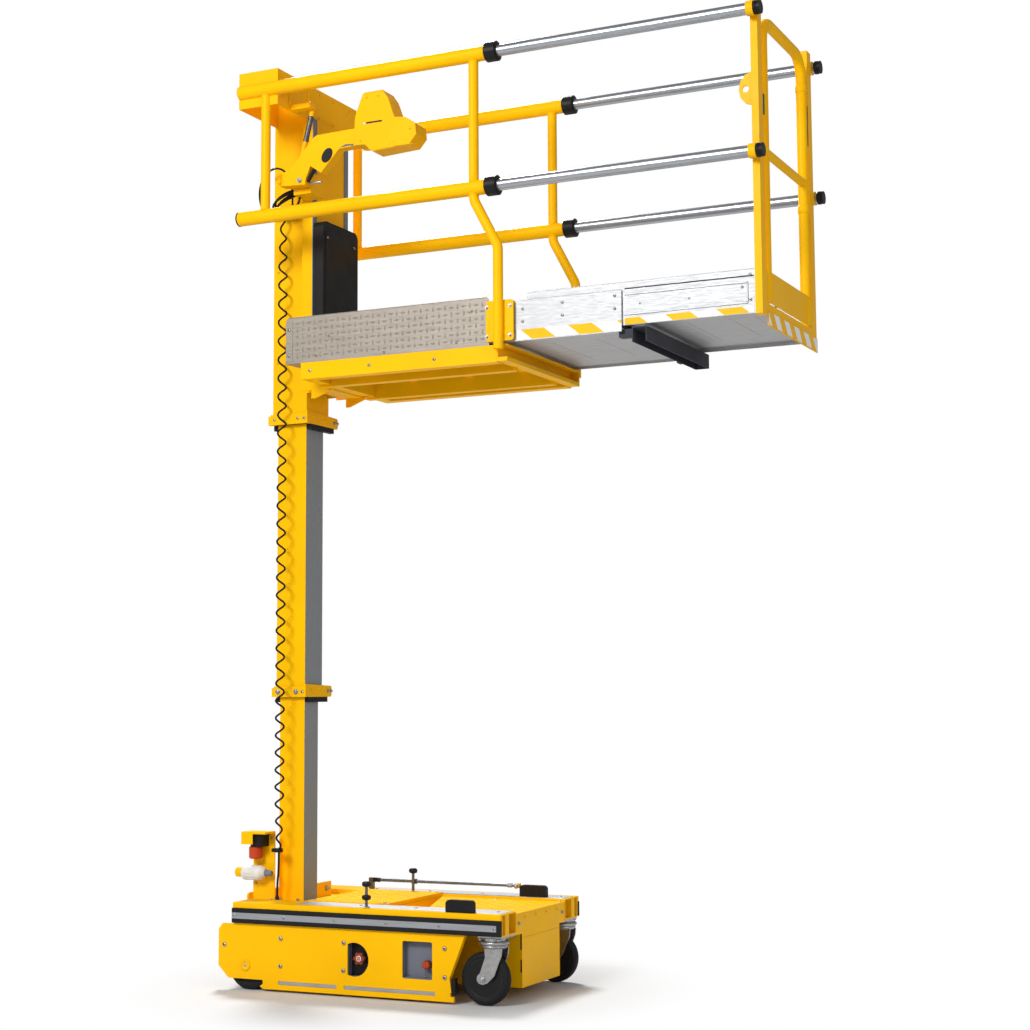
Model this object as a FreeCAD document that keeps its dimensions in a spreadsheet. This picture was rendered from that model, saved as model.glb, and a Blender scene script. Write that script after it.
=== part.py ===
import FreeCAD, Part
import math
import os
import Sketcher
from FreeCAD import Placement, Rotation, Vector

# Self-propelled vertical mast lift: a low wheeled base, a three-section telescopic mast
# and a guarded platform whose deck slides out in two stages. Millimetres, +Z up.
# X runs along the machine towards the casters and the sliding deck, Y across it.
# Places along X are measured from the middle of the base; origin_x then moves the whole
# machine so that its own frame lies at the bottom centre of its outline. What stands on
# the mast is placed from the mast's axis, and the rails and boards from the deck's floor.

# alias, value, what it is
SIZES = [
    ("base_width", 760, "over the side bumpers"),
    ("longeron_length", 1215, "side members of the base"),
    ("longeron_width", 140, "one side member over its top flange"),
    ("longeron_top", 349, "top of the side members"),
    ("longeron_bottom", 265, "underside of the side members"),
    ("longeron_wall", 5, "sheet of the side members"),
    ("web_place", 31, "web behind the side member's outer wall"),
    ("web_width", 32, "web of the side members"),
    ("flange_inset", 8, "top flange inside the bumper's outer face"),
    ("flange_drop", 22, "top flange above the bumper"),
    ("bumper_thick", 20, "rubber strip"),
    ("bumper_height", 60, "rubber strip"),
    ("bumper_bar_height", 24, "metal bar on the strip"),
    ("bumper_bar_thick", 4, "metal bar on the strip"),
    ("bumper_bar_inset", 15, "bar shorter than the strip at the front"),
    ("deck_recess", 10, "tread plate below the side members' tops"),
    ("deck_thick", 5, "tread plate of the base"),
    ("tail_reach", 92, "rear tray behind the side members"),
    ("tail_width", 320, "rear tray"),
    ("tail_top", 305, "rear tray"),
    ("tail_thick", 25, "rear tray"),
    ("lug_thick", 8, "upright foot lugs"),
    ("rear_lug_top", 360, "rear foot lug"),
    ("rear_lug_width", 262, "rear foot lug"),
    ("side_lug_top", 390, "foot lug beside the mast"),
    ("side_lug_reach", 170, "foot lug beside the mast"),
    ("skirt_thick", 5, "side plate"),
    ("skirt_tail", 72, "side plate behind the side members"),
    ("skirt_front", 157, "its front top corner behind the base's front"),
    ("skirt_rake", 58, "front bottom corner behind the top corner"),
    ("skirt_bottom", 45, "height of its lower edge"),
    ("skirt_ledge", 263, "height of its top behind the bumper"),
    ("skirt_flange", 22, "edges folded inwards"),
    ("guard_front", 402, "rubbing bar under the side plate"),
    ("guard_rear", -465, "rubbing bar under the side plate"),
    ("guard_bottom", 10, "ground clearance"),
    ("guard_height", 20, "rubbing bar"),
    ("guard_thick", 13, "rubbing bar"),
    ("recess_x", -40, "round recess in the near side plate"),
    ("recess_z", 148, "round recess"),
    ("recess_radius", 66, "round recess"),
    ("recess_flat", 30, "straight edge of the round recess behind its middle"),
    ("window_rear", 177, "square recess in the near side plate"),
    ("window_length", 132, "square recess"),
    ("window_bottom", 88, "square recess"),
    ("window_height", 144, "square recess"),
    ("pan_depth", 34, "recesses behind the side plate"),
    ("pan_wall", 3, "recesses"),
    ("knob_radius", 26, "star knob"),
    ("wheel_clear", 10, "side member's face to drive wheel"),
    ("drive_dia", 200, "drive wheel"),
    ("drive_width", 55, "drive wheel"),
    ("drive_inset", 67, "drive axle ahead of the base's rear"),
    ("hub_dia", 40, "drive shaft"),
    ("motor_dia", 116, "gear motor"),
    ("motor_length", 120, "gear motor"),
    ("motor_plate", 10, "plate that carries the motor"),
    ("caster_dia", 205, "caster wheel"),
    ("caster_width", 46, "caster wheel"),
    ("caster_inset", 50, "swivel axis behind the base's front"),
    ("caster_y", 322, "swivel axis"),
    ("caster_trail", 35, "axle behind the swivel axis"),
    ("caster_head", 117, "swivel ring"),
    ("caster_head_thick", 8, "swivel plate"),
    ("caster_race_height", 10, "ball race under the plate"),
    ("caster_ring", 27, "swivel ring with its lower lip"),
    ("fork_sheet", 5, "fork"),
    ("fork_gap", 4, "wheel to fork"),
    ("axle_dia", 22, "nuts of the caster axle"),
    ("box_rear", 260, "battery box"),
    ("box_inset", 2, "battery box behind the base's front"),
    ("box_width", 358, "battery box"),
    ("box_bottom", 50, "battery box"),
    ("box_wall", 4, "battery box"),
    ("apron_height", 71, "wide top of the battery box's front"),
    ("hood_front", 40, "raised cover behind the tread plate"),
    ("hood_rear", 198, "its rear end ahead of the mast's axis"),
    ("hood_width", 480, "raised cover"),
    ("hood_sheet", 6, "raised cover"),
    ("well_reach", 210, "triangular well in front of the cover"),
    ("well_depth", 50, "triangular well"),
    ("tray_bottom", 125, "underside of the machine housing"),
    ("tray_width", 300, "machine housing"),
    ("mast_inset", 79, "mast axis ahead of the base's rear"),
    ("foot_drop", 21, "mounting face of the mast below the side members"),
    ("foot_reach", 75, "mounting face ahead of the mast"),
    ("low_length", 122, "lower section along X"),
    ("low_width", 108, "lower section across"),
    ("mid_length", 142, "middle section along X"),
    ("mid_width", 138, "middle section across"),
    ("mid_bottom", 1180, "underside of its collar"),
    ("low_overlap", 380, "lower section inside the middle one"),
    ("mid_overlap", 350, "middle section inside the upper one"),
    ("up_length", 170, "upper section along X"),
    ("up_width", 180, "upper section across"),
    ("up_drop", 209, "underside of its collar below the deck"),
    ("up_top", 60, "top of the mast above the top rail's middle"),
    ("mast_wall", 5, "mast sections"),
    ("collar_height", 45, "collars at the feet of the sections"),
    ("collar_front", 55, "front plate of the collars"),
    ("collar_grow", 8, "collar beyond its section"),
    ("collar_arm", 67, "front plate beyond the section's far side"),
    ("collar_lug", 11, "bolt lug behind the collar"),
    ("slider_height", 22, "plastic slide block"),
    ("slider_inside", 40, "plastic ring inside the section"),
    ("seat_clear", 0.3, "running faces that all but touch"),
    ("carriage_front", 143, "front face of the carriage ahead of the mast's axis"),
    ("carriage_width", 294, "carriage"),
    ("carriage_drop", 79, "foot of the carriage below the deck"),
    ("carriage_sheet", 6, "carriage plate"),
    ("carriage_depth", 50, "side flanges of the carriage"),
    ("strip_width", 32, "grey slide strips on the carriage"),
    ("strip_thick", 4, "grey slide strips"),
    ("cover_low", 206, "black cover above the deck"),
    ("cover_height", 450, "black cover"),
    ("cover_depth", 51, "black cover"),
    ("head_front", 116, "cross plate of the mast head ahead of the mast's axis"),
    ("head_thick", 8, "cross plate"),
    ("head_over", 86, "its top above the top rail's middle"),
    ("head_height", 156, "cross plate"),
    ("head_far", 290, "far end of the cross plate"),
    ("head_tail", 78, "near end plate behind the mast's axis"),
    ("rail_y", 383, "guard rails from the middle"),
    ("rail_dia", 60, "yellow rail tubes"),
    ("rail_wall", 3, "yellow rail tubes"),
    ("rail_rear", 67, "rear end of the near rails behind the mast's axis"),
    ("rail_front", 1103, "front end of the yellow tubes"),
    ("rail_high", 1181.5, "top rail above the deck"),
    ("rail_step", 548, "middle rail below the top rail"),
    ("sleeve_dia", 80, "black guide sleeves"),
    ("sleeve_length", 45, "black guide sleeves"),
    ("tube_dia", 46, "sliding tubes"),
    ("tube_wall", 3, "sliding tubes"),
    ("tube_rear", 958, "rear end of the sliding tubes"),
    ("tube_front", 2231, "front end of the sliding tubes"),
    ("tube_clear", 0.5, "sliding tube to its guide"),
    ("cap_dia", 52, "black end caps"),
    ("cap_length", 14, "black end caps"),
    ("far_cap_out", 8, "far caps stand further out"),
    ("post_dia", 40, "rail posts"),
    ("rear_post", 58, "rear posts ahead of the mast's axis"),
    ("front_post", 1040, "front posts, upper run"),
    ("post_foot", 1145, "front posts, lower run"),
    ("post_bend_top", 48, "upper bend below the middle rail"),
    ("post_bend_low", 246, "lower bend below the middle rail"),
    ("post_plate_thick", 8, "foot plate of the front posts"),
    ("post_plate_length", 120, "foot plate of the front posts"),
    ("post_plate_height", 163, "foot plate of the front posts"),
    ("deck_z", 2559, "floor of the fixed deck"),
    ("floor_thick", 3, "deck sheets"),
    ("deck_rear", 153, "rear end of the fixed deck"),
    ("deck_front", 1095, "front end of the fixed deck"),
    ("lip_start", 371, "where the side board's lower lip begins"),
    ("lip_height", 8, "lower lip of the side boards"),
    ("board_top", 190, "side boards above the deck"),
    ("board_thick", 3, "side boards"),
    ("board_y", 364, "outer face of the fixed boards"),
    ("beam_height", 69, "underframe beams"),
    ("beam_width", 50, "underframe beams"),
    ("beam_start", 225, "rear end of the underframe beams"),
    ("channel_rear", 1128, "front cross channel"),
    ("channel_depth", 45, "front cross channel"),
    ("channel_height", 75, "front cross channel"),
    ("channel_wall", 5, "front cross channel"),
    ("stage_gap", 6, "gap between nested boards"),
    ("stage_lift", 5, "middle boards above the fixed deck"),
    ("mid_floor_lift", 16, "middle stage's floor above the fixed deck"),
    ("mid_deck_rear", 733, "rear end of the middle stage"),
    ("mid_deck_front", 1656, "front end of the middle stage"),
    ("mid_board_top", 165, "its boards above the fixed deck"),
    ("mid_channel_ahead", 42, "its cross channel ahead of its front end"),
    ("mid_channel_depth", 60, "its cross channel"),
    ("end_deck_rear", 1253, "rear end of the end stage"),
    ("end_board_low", 29, "its boards above the fixed deck"),
    ("end_floor_lift", 46, "its floor above the fixed deck"),
    ("end_board_top", 196, "its boards above the fixed deck"),
    ("deck_travel", 450, "travel of each deck stage"),
    ("gate_x", 2190, "rear face of the gate posts ahead of the mast's axis"),
    ("gate_post", 28, "gate posts along X"),
    ("gate_post_wide", 50, "gate posts across"),
    ("gate_post_y", 350, "outer face of the gate posts"),
    ("post_over", 50, "gate posts above the top rail's middle"),
    ("sill_low", 26, "sill above the fixed deck"),
    ("sill_height", 48, "sill under the gate"),
    ("flap_low", 12, "striped flap below the fixed deck"),
    ("flap_height", 58, "striped flap"),
    ("gate_tube", 42, "gate hoop"),
    ("gate_y", 255, "legs of the hoop"),
    ("gate_over", 25, "top of the hoop above the top rail's middle"),
    ("gate_low", 82, "underside of the kick plate above the fixed deck"),
    ("gate_bar_up", 33, "middle bar of the gate above the middle rail"),
    ("kick_height", 120, "kick plate"),
    ("hoop_bend", 90, "upper corners of the hoop"),
    ("anchor_up", 253, "lanyard anchor above the middle rail"),
    ("anchor_radius", 64, "lanyard anchor"),
    ("arm_y", -280, "control arm"),
    ("arm_thick", 46, "control arm"),
    ("arm_x", 176, "arm pivot ahead of the mast's axis"),
    ("arm_up", 159.5, "arm pivot above the middle rail"),
    ("console_near", -310, "control console"),
    ("console_width", 95, "control console"),
    ("strut_dia", 20, "gas strut"),
    ("pad_near", 122, "near corner pad's front end behind the base's front"),
    ("pad_far", 95, "far corner pad's front end behind the base's front"),
    ("pad_length", 120, "corner pads"),
    ("pad_height", 48, "corner pads"),
    ("link_y", 265, "linkage rod beside the far side"),
    ("link_z", 43, "linkage rod above the side members"),
    ("plate_y", -105, "fitting plate beside the mast"),
    ("plate_rear", 154, "fitting plate behind the mast's axis"),
    ("plate_front", 47, "fitting plate behind the mast's axis"),
    ("plate_top", 610, "fitting plate"),
    ("visor_depth", 80, "visor on the fitting plate"),
    ("beacon_dia", 60, "beacon"),
    ("beacon_low", 504, "beacon"),
    ("beacon_high", 556, "beacon"),
    ("plug_z", 446, "power plug"),
    ("plug_dia", 64, "power plug"),
    ("plug_rear", 214, "power plug behind the mast's axis"),
    ("coil_x", -13, "curly cord from the mast's axis"),
    ("coil_y", -132, "curly cord"),
    ("coil_dia", 45, "curly cord"),
    ("coil_low", 548, "top of the clip at its foot"),
    ("coil_drop", 62, "middle rail's axis above the cord's upper end"),
    ("clip_height", 15, "clip at the cord's foot"),
    ("lead_dia", 9, "straight leads"),
]


class Size:
    """A number together with the formula that gives it from the sheet."""

    def __init__(self, number, formula):
        self.number = float(number)
        self.formula = formula

    def __add__(self, other):
        other = size(other)
        return Size(self.number + other.number, f"({self.formula} + {other.formula})")

    def __radd__(self, other):
        return size(other) + self

    def __sub__(self, other):
        other = size(other)
        return Size(self.number - other.number, f"({self.formula} - {other.formula})")

    def __rsub__(self, other):
        return size(other) - self

    def __mul__(self, factor):
        return Size(self.number * factor, f"({self.formula} * {factor:g})")

    __rmul__ = __mul__

    def __truediv__(self, divisor):
        return Size(self.number / divisor, f"({self.formula} / {divisor:g})")

    def __neg__(self):
        return Size(-self.number, f"(0 - {self.formula})")


def size(value):
    """Turn a plain number into a Size; a Size stays as it is."""
    if isinstance(value, Size):
        return value
    return Size(value, f"{value:g}" if value >= 0 else f"(0 - {-value:g})")


class Sheet:
    """Attribute access to the sheet's cells as Size values."""


doc = FreeCAD.newDocument("MastLift")
sheet = doc.addObject("Spreadsheet::Sheet", "Sizes")
S = Sheet()
for row, (alias, value, note) in enumerate(SIZES, start=1):
    sheet.set(f"A{row}", alias)
    sheet.set(f"B{row}", f"{value:g}")
    sheet.set(f"C{row}", note)
    sheet.setAlias(f"B{row}", alias)
    setattr(S, alias, Size(value, f"Sizes.{alias}"))
doc.recompute()

far_end = S.tube_front + S.cap_length + S.far_cap_out
base_front = S.longeron_length / 2
base_rear = -base_front
mast_x = base_rear + S.mast_inset
origin_x = mast_x + (far_end - S.plug_rear) / 2
half_base = S.base_width / 2
nodes = []


def ahead(value):
    """Place along X measured from the mast's axis."""
    return mast_x + size(value)


def bind(obj, path, value):
    """Tie one property to the sheet."""
    obj.setExpression(path, size(value).formula)


def local(axis, value):
    """Coordinate in the machine's own frame; only X is moved."""
    return size(value) - origin_x if axis == "x" else size(value)


def put(obj, x, y, z, rotation=None):
    if rotation is not None:
        obj.Placement = Placement(Vector(0, 0, 0), rotation)
    for axis, value in (("x", x), ("y", y), ("z", z)):
        bind(obj, "Placement.Base." + axis, local(axis, value))


def box(name, x, y, z):
    """Block between three pairs of coordinates."""
    obj = doc.addObject("Part::Box", name)
    for prop, (low, high) in (("Length", x), ("Width", y), ("Height", z)):
        bind(obj, prop, size(high) - size(low))
    put(obj, x[0], y[0], z[0])
    return obj


TURN = {
    "x": Rotation(Vector(0, 1, 0), 90),
    "y": Rotation(Vector(1, 0, 0), -90),
    "z": Rotation(),
}


def rod(name, axis, start, length, radius):
    """Round bar from a point along one axis."""
    obj = doc.addObject("Part::Cylinder", name)
    bind(obj, "Radius", radius)
    bind(obj, "Height", length)
    put(obj, *start, rotation=TURN[axis])
    return obj


def cut(name, base, *tools):
    tool = tools[0] if len(tools) == 1 else fuse(name + "Tools", *tools)
    obj = doc.addObject("Part::Cut", name)
    obj.Base = base
    obj.Tool = tool
    return obj


def fuse(name, *parts):
    obj = doc.addObject("Part::MultiFuse", name)
    obj.Shapes = list(parts)
    return obj


def group(name, *parts):
    """Separate solids that share a node."""
    obj = doc.addObject("Part::Compound", name)
    obj.Links = list(parts)
    return obj


def mirror(name, source):
    """Copy on the other side of the middle plane."""
    obj = doc.addObject("Part::Mirroring", name)
    obj.Source = source
    obj.Base = Vector(0, 0, 0)
    obj.Normal = Vector(0, 1, 0)
    return obj


def both(name, source):
    """A piece and its mirror image in one node."""
    return group(name, source, mirror(name + "Far", source))


def tube(name, axis, start, length, radius, wall):
    outer = rod(name + "Outer", axis, start, length, radius)
    inner = rod(name + "Bore", axis, start, length, radius - wall)
    return cut(name, outer, inner)


def shell(name, x, y, z, wall):
    """Square tube along Z, open at both ends."""
    outer = box(name + "Outer", x, y, z)
    inner = box(
        name + "Inner",
        (x[0] + wall, x[1] - wall),
        (y[0] + wall, y[1] - wall),
        z,
    )
    return cut(name, outer, inner)


SKETCH_PLANES = {
    # sketch axes, plane, sign of the plane's normal
    "xy": ("XY_Plane", 1),
    "xz": ("XZ_Plane", -1),
    "yz": ("YZ_Plane", 1),
}


def sketch_on(body, name, role):
    drawing = body.newObject("Sketcher::SketchObject", name)
    plane = [f for f in body.Origin.OriginFeatures if f.Role == role][0]
    drawing.AttachmentSupport = [(plane, "")]
    drawing.MapMode = "FlatFace"
    return drawing


def pin(drawing, kind, geometry, point, value):
    """Tie a sketch point's coordinate to the sheet."""
    row = drawing.addConstraint(Sketcher.Constraint(kind, -1, 1, geometry, point, value.number))
    name = f"{kind}{row}"
    drawing.renameConstraint(row, name)
    bind(drawing, "Constraints." + name, value)


def outline(drawing, points):
    """Closed polygon whose corners are bound to the sheet."""
    first = drawing.GeometryCount
    count = len(points)
    for i in range(count):
        a, b = points[i], points[(i + 1) % count]
        drawing.addGeometry(
            Part.LineSegment(Vector(a[0].number, a[1].number, 0), Vector(b[0].number, b[1].number, 0))
        )
    for i in range(count):
        following = first + (i + 1) % count
        drawing.addConstraint(Sketcher.Constraint("Coincident", first + i, 2, following, 1))
        pin(drawing, "DistanceX", first + i, 1, points[i][0])
        pin(drawing, "DistanceY", first + i, 1, points[i][1])


def circle(drawing, u, v, radius):
    row = drawing.addGeometry(Part.Circle(Vector(u.number, v.number, 0), Vector(0, 0, 1), radius.number))
    pin(drawing, "DistanceX", row, 3, u)
    pin(drawing, "DistanceY", row, 3, v)
    mark = drawing.addConstraint(Sketcher.Constraint("Radius", row, radius.number))
    drawing.renameConstraint(mark, f"Radius{mark}")
    bind(drawing, f"Constraints.Radius{mark}", radius)


def prism(name, plane, points, low, high, holes=(), rounds=None):
    """Sheet or bar with a polygonal outline, between two coordinates along its normal.

    holes are (u, v, radius); rounds is (corner numbers, radius).
    """
    role, sense = SKETCH_PLANES[plane]
    body = doc.addObject("PartDesign::Body", name)
    drawing = sketch_on(body, name + "Outline", role)
    normal = {"xy": "z", "xz": "y", "yz": "x"}[plane]
    low, high = local(normal, low), local(normal, high)
    bind(drawing, "AttachmentOffset.Base.z", low if sense > 0 else -high)
    corners = [(local(plane[0], u), local(plane[1], v)) for u, v in points]
    outline(drawing, corners)
    for u, v, radius in holes:
        circle(drawing, local(plane[0], u), local(plane[1], v), size(radius))
    pad = body.newObject("PartDesign::Pad", name + "Pad")
    pad.Profile = drawing
    bind(pad, "Length", high - low)
    drawing.Visibility = False
    if rounds:
        doc.recompute()
        round_corners(body, pad, name, plane, corners, *rounds)
    return body


def round_corners(body, pad, name, plane, corners, indices, radius):
    """Round the edges that run through the sheet at the given corners."""
    flat = {"xy": (0, 1), "xz": (0, 2), "yz": (1, 2)}[plane]
    picked = []
    for index in indices:
        u, v = corners[index][0].number, corners[index][1].number
        for number, edge in enumerate(pad.Shape.Edges, start=1):
            ends = [vertex.Point for vertex in edge.Vertexes]
            near = [abs(p[flat[0]] - u) < 0.01 and abs(p[flat[1]] - v) < 0.01 for p in ends]
            if len(ends) == 2 and all(near):
                picked.append(f"Edge{number}")
    fillet = body.newObject("PartDesign::Fillet", name + "Round")
    fillet.Base = (pad, picked)
    bind(fillet, "Radius", radius)


def turned(name, axis, centre, profile):
    """Solid of revolution; profile holds (radius, place along the axis)."""
    role = {"y": "XY_Plane", "z": "XZ_Plane"}[axis]
    body = doc.addObject("PartDesign::Body", name)
    drawing = sketch_on(body, name + "Profile", role)
    outline(drawing, [(size(r), size(a)) for r, a in profile])
    turn = body.newObject("PartDesign::Revolution", name + "Turn")
    turn.Profile = drawing
    turn.ReferenceAxis = (drawing, ["V_Axis"])
    turn.Angle = 360
    put(body, *centre)
    return body


def bent_path(points, bend=None):
    """Straight runs joined by arcs that touch them.

    Without a bend radius each arc takes as much of its runs as fits.
    """
    edges = []
    radii = []
    start = points[0]
    for before, corner, after in zip(points, points[1:], points[2:]):
        into = (corner - before).normalize()
        out = (after - corner).normalize()
        turn = into.getAngle(out)
        shorter = min((corner - before).Length, (after - corner).Length)
        radius = bend or 0.45 * shorter / math.tan(turn / 2)
        radii.append(round(radius))
        reach = radius * math.tan(turn / 2)
        entry = corner - into * reach
        leave = corner + out * reach
        toward = (out - into).normalize()
        middle = corner + toward * (radius / math.cos(turn / 2) - radius)
        edges.append(Part.LineSegment(start, entry).toShape())
        edges.append(Part.Arc(entry, middle, leave).toShape())
        start = leave
    edges.append(Part.LineSegment(start, points[-1]).toShape())
    if bend is None and radii:
        print("bend radii", radii)
    return Part.Wire(edges)


def bent_tube(name, points, radius, bend=None, sides=0):
    """Tube along straight runs and arcs, ends square to the first and last run.

    A thin lead is cut from a bar with that many flat sides instead of a round one.
    """
    places = [Vector(local("x", x).number, size(y).number, size(z).number) for x, y, z in points]
    path = bent_path(places, bend)
    direction = (places[1] - places[0]).normalize()
    reach = size(radius).number
    if sides:
        corner = direction.cross(Vector(0.3, 1, 0.2)).normalize() * reach
        turns = [Rotation(direction, 360 / sides * i) for i in range(sides + 1)]
        ring = Part.makePolygon([places[0] + turn.multVec(corner) for turn in turns])
    else:
        ring = Part.Wire([Part.makeCircle(reach, places[0], direction)])
    feature = doc.addObject("Part::Feature", name)
    feature.Shape = path.makePipeShell([ring], True, False)
    return feature


def node(label, obj):
    """Name a finished piece; its label becomes its file."""
    obj.Label = label
    nodes.append(obj)
    return obj


# Base: two side members joined by the rear beam, the housing and the battery box
side_outer = half_base - S.bumper_thick
flange_outer = half_base - S.flange_inset
side_inner = flange_outer - S.longeron_width
deck_top = S.longeron_top - S.deck_recess
tray_top = deck_top - S.deck_thick
foot_top = S.longeron_top - S.foot_drop
foot_front = ahead(S.low_length / 2 + S.foot_reach)
box_front = base_front - S.box_inset
bumper_top = S.longeron_top - S.flange_drop
bumper_low = bumper_top - S.bumper_height
across = (-side_inner, side_inner)


def side_member():
    """Extruded side member, open at both ends, with a web between its two cells."""
    profile = [
        (-flange_outer, S.longeron_top),
        (-side_inner, S.longeron_top),
        (-side_inner, S.longeron_bottom),
        (-side_outer, S.longeron_bottom),
        (-side_outer, bumper_top),
        (-flange_outer, bumper_top),
    ]
    bar = prism("SideProfile", "yz", profile, base_rear, base_front)
    wall = S.longeron_wall
    inside = (S.longeron_bottom + wall, S.longeron_top - wall)
    web = -side_outer + S.web_place
    length = (base_rear, base_front)
    cell_a = box("SideCellA", length, (-side_outer + wall, web), inside)
    cell_b = box("SideCellB", length, (web + S.web_width, -side_inner - wall), inside)
    return cut("SideMember", bar, cell_a, cell_b)


side = side_member()
tail_x = (base_rear - S.tail_reach, base_rear + 5)
tail_half = S.tail_width / 2
lug_half = S.rear_lug_width / 2
lug_corners = [
    (-lug_half, S.tail_top - 1),
    (lug_half, S.tail_top - 1),
    (lug_half, S.rear_lug_top),
    (-lug_half, S.rear_lug_top),
]
frame_parts = [
    side,
    mirror("SideFar", side),
    box("RearBeam", (base_rear, foot_front), across, (S.longeron_bottom, foot_top)),
    box("RearTray", tail_x, (-tail_half, tail_half), (S.tail_top - S.tail_thick, S.tail_top)),
    prism("RearLug", "yz", lug_corners, tail_x[0], tail_x[0] + S.lug_thick, rounds=((2, 3), 14)),
    box("FrontBeam", (box_front - S.beam_width, box_front), across, (tray_top - S.longeron_wall, tray_top)),
]
node("chassis_frame", fuse("ChassisFrame", *frame_parts))

# Machine housing and tread plate, with the triangular well in front of the raised cover
well_half = side_inner - 4
well_corners = [
    (S.hood_front + 4, -well_half),
    (S.well_reach, -well_half),
    (S.hood_front + 4, well_half),
]
well = prism("Well", "xy", well_corners, tray_top - S.well_depth, S.longeron_top)
housing_low = box(
    "HousingLow",
    (foot_front, S.box_rear),
    (-S.tray_width / 2, S.tray_width / 2),
    (S.tray_bottom, S.longeron_bottom + 1),
)
housing_top = box("HousingTop", (foot_front, S.box_rear), across, (S.longeron_bottom, tray_top))
node("machine_housing", cut("Housing", fuse("HousingBlocks", housing_low, housing_top), well))
deck_sheet = box("DeckSheet", (foot_front, box_front), across, (tray_top, deck_top))
node("base_deck", cut("DeckPlate", deck_sheet, well))
hood_x = (ahead(S.hood_rear), S.hood_front)
hood_sheet = box(
    "HoodSheet",
    hood_x,
    (-S.hood_width / 2, S.hood_width / 2),
    (S.longeron_top, S.longeron_top + S.hood_sheet),
)
hood_body = box(
    "HoodBody",
    hood_x,
    (-side_inner + S.seat_clear, side_inner - S.seat_clear),
    (deck_top, S.longeron_top + 1),
)
node("deck_cover", fuse("Hood", hood_sheet, hood_body))

# Bumpers along both sides, each with its metal bar
bumper_profile = [
    (-half_base + 3, bumper_low),
    (-side_outer, bumper_low),
    (-side_outer, bumper_top),
    (-half_base + 3, bumper_top),
    (-half_base, bumper_top - 4),
    (-half_base, bumper_low + 4),
]
bumper = prism("Bumper", "yz", bumper_profile, base_rear, base_front)
bar_middle = bumper_low + S.bumper_height / 2
bar_x = (base_rear, base_front - S.bumper_bar_inset)
bar_y = (-half_base, -half_base + S.bumper_bar_thick)
bar_z = (bar_middle - S.bumper_bar_height / 2, bar_middle + S.bumper_bar_height / 2)
bumper_bar = box("BumperBar", bar_x, bar_y, bar_z)
skirt_y = (-side_outer - S.skirt_thick, -side_outer)
skirt_top_x = base_front - S.skirt_front
skirt_seat = box("SkirtSeat", (base_rear, skirt_top_x), skirt_y, (bumper_low, bumper_top))
bar_slot = box("BumperSlot", bar_x, bar_y, bar_z)
node("side_bumpers", both("BumperPair", cut("BumperSeated", bumper, bar_slot, skirt_seat)))
node("bumper_bars", both("BumperBarPair", bumper_bar))

# Side plates: folded inwards at both ends, the near one with two recesses for controls
skirt_rear = base_rear - S.skirt_tail
skirt_low_x = skirt_top_x - S.skirt_rake
notch_x = skirt_low_x - 8
notch_z = S.skirt_bottom + 55
skirt_points = [
    (skirt_rear, S.skirt_bottom + 48),
    (skirt_rear + 49, S.skirt_bottom),
    (skirt_low_x, S.skirt_bottom),
    (notch_x, notch_z),
    (skirt_top_x, S.skirt_ledge),
    (skirt_top_x, bumper_top),
    (base_rear, bumper_top),
    (base_rear, S.skirt_ledge),
    (skirt_rear + 20, S.skirt_ledge),
    (skirt_rear, S.skirt_ledge - 23),
]
skirt = prism("Skirt", "xz", skirt_points, *skirt_y)
sheet_s = S.skirt_thick
fold_y = (-side_outer - sheet_s, -side_outer - sheet_s + S.skirt_flange)
front_fold = prism(
    "FrontFold",
    "xz",
    [
        (skirt_low_x, S.skirt_bottom),
        (notch_x, notch_z),
        (skirt_top_x, S.skirt_ledge),
        (skirt_top_x - 5, S.skirt_ledge),
        (notch_x - 5, notch_z + 1),
        (skirt_low_x - 5, S.skirt_bottom),
    ],
    *fold_y,
)
rear_fold = box("RearFold", (skirt_rear, skirt_rear + 4), fold_y, (S.skirt_bottom + 50, S.skirt_ledge - 25))
guard_y = (-side_outer - sheet_s, -side_outer - sheet_s + S.guard_thick)
guard_top = S.guard_bottom + S.guard_height
guard_points = [
    (S.guard_rear - 14, S.guard_bottom + S.guard_height / 2),
    (S.guard_rear, S.guard_bottom),
    (S.guard_front, S.guard_bottom),
    (S.guard_front, guard_top),
    (S.guard_rear, guard_top),
]
guard = [prism("Guard", "xz", guard_points, *guard_y)]
# rear end, front end of the webs between the rubbing bar and the side plate
for i, (rear, front) in enumerate(((S.guard_rear, -392), (-120, -86), (321, S.guard_front - 14))):
    guard.append(box(f"GuardWeb{i}", (rear, front), guard_y, (guard_top - 2, S.skirt_bottom)))
    tab_z = (guard_top - 2, S.skirt_bottom + 30)
    guard.append(box(f"GuardTab{i}", (rear, front), (-side_outer - 1, guard_y[1]), tab_z))
plate_parts = [skirt, front_fold, rear_fold, *guard]
far_plate = mirror("SkirtFar", fuse("SkirtPlain", *plate_parts))
disc = rod(
    "RecessDisc",
    "y",
    (S.recess_x, skirt_y[0] - 1, S.recess_z),
    sheet_s + 2,
    S.recess_radius,
)
recess_x = (S.recess_x - S.recess_flat, S.recess_x + S.recess_radius + 1)
recess_z = (S.recess_z - S.recess_radius - 1, S.recess_z + S.recess_radius + 1)
keep = box("RecessKeep", recess_x, (skirt_y[0] - 2, skirt_y[1] + 2), recess_z)
recess_hole = doc.addObject("Part::Common", "RecessHole")
recess_hole.Base = disc
recess_hole.Tool = keep
window_x = (S.window_rear, S.window_rear + S.window_length)
window_z = (S.window_bottom, S.window_bottom + S.window_height)
window_corners = [
    (window_x[0], window_z[0]),
    (window_x[1], window_z[0]),
    (window_x[1], window_z[1]),
    (window_x[0], window_z[1]),
]
window = prism("Window", "xz", window_corners, skirt_y[0] - 1, skirt_y[1] + 1, rounds=((0, 1, 2, 3), 8))
near_plate = cut("SkirtNear", fuse("SkirtOpen", *plate_parts), recess_hole, window)
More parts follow.
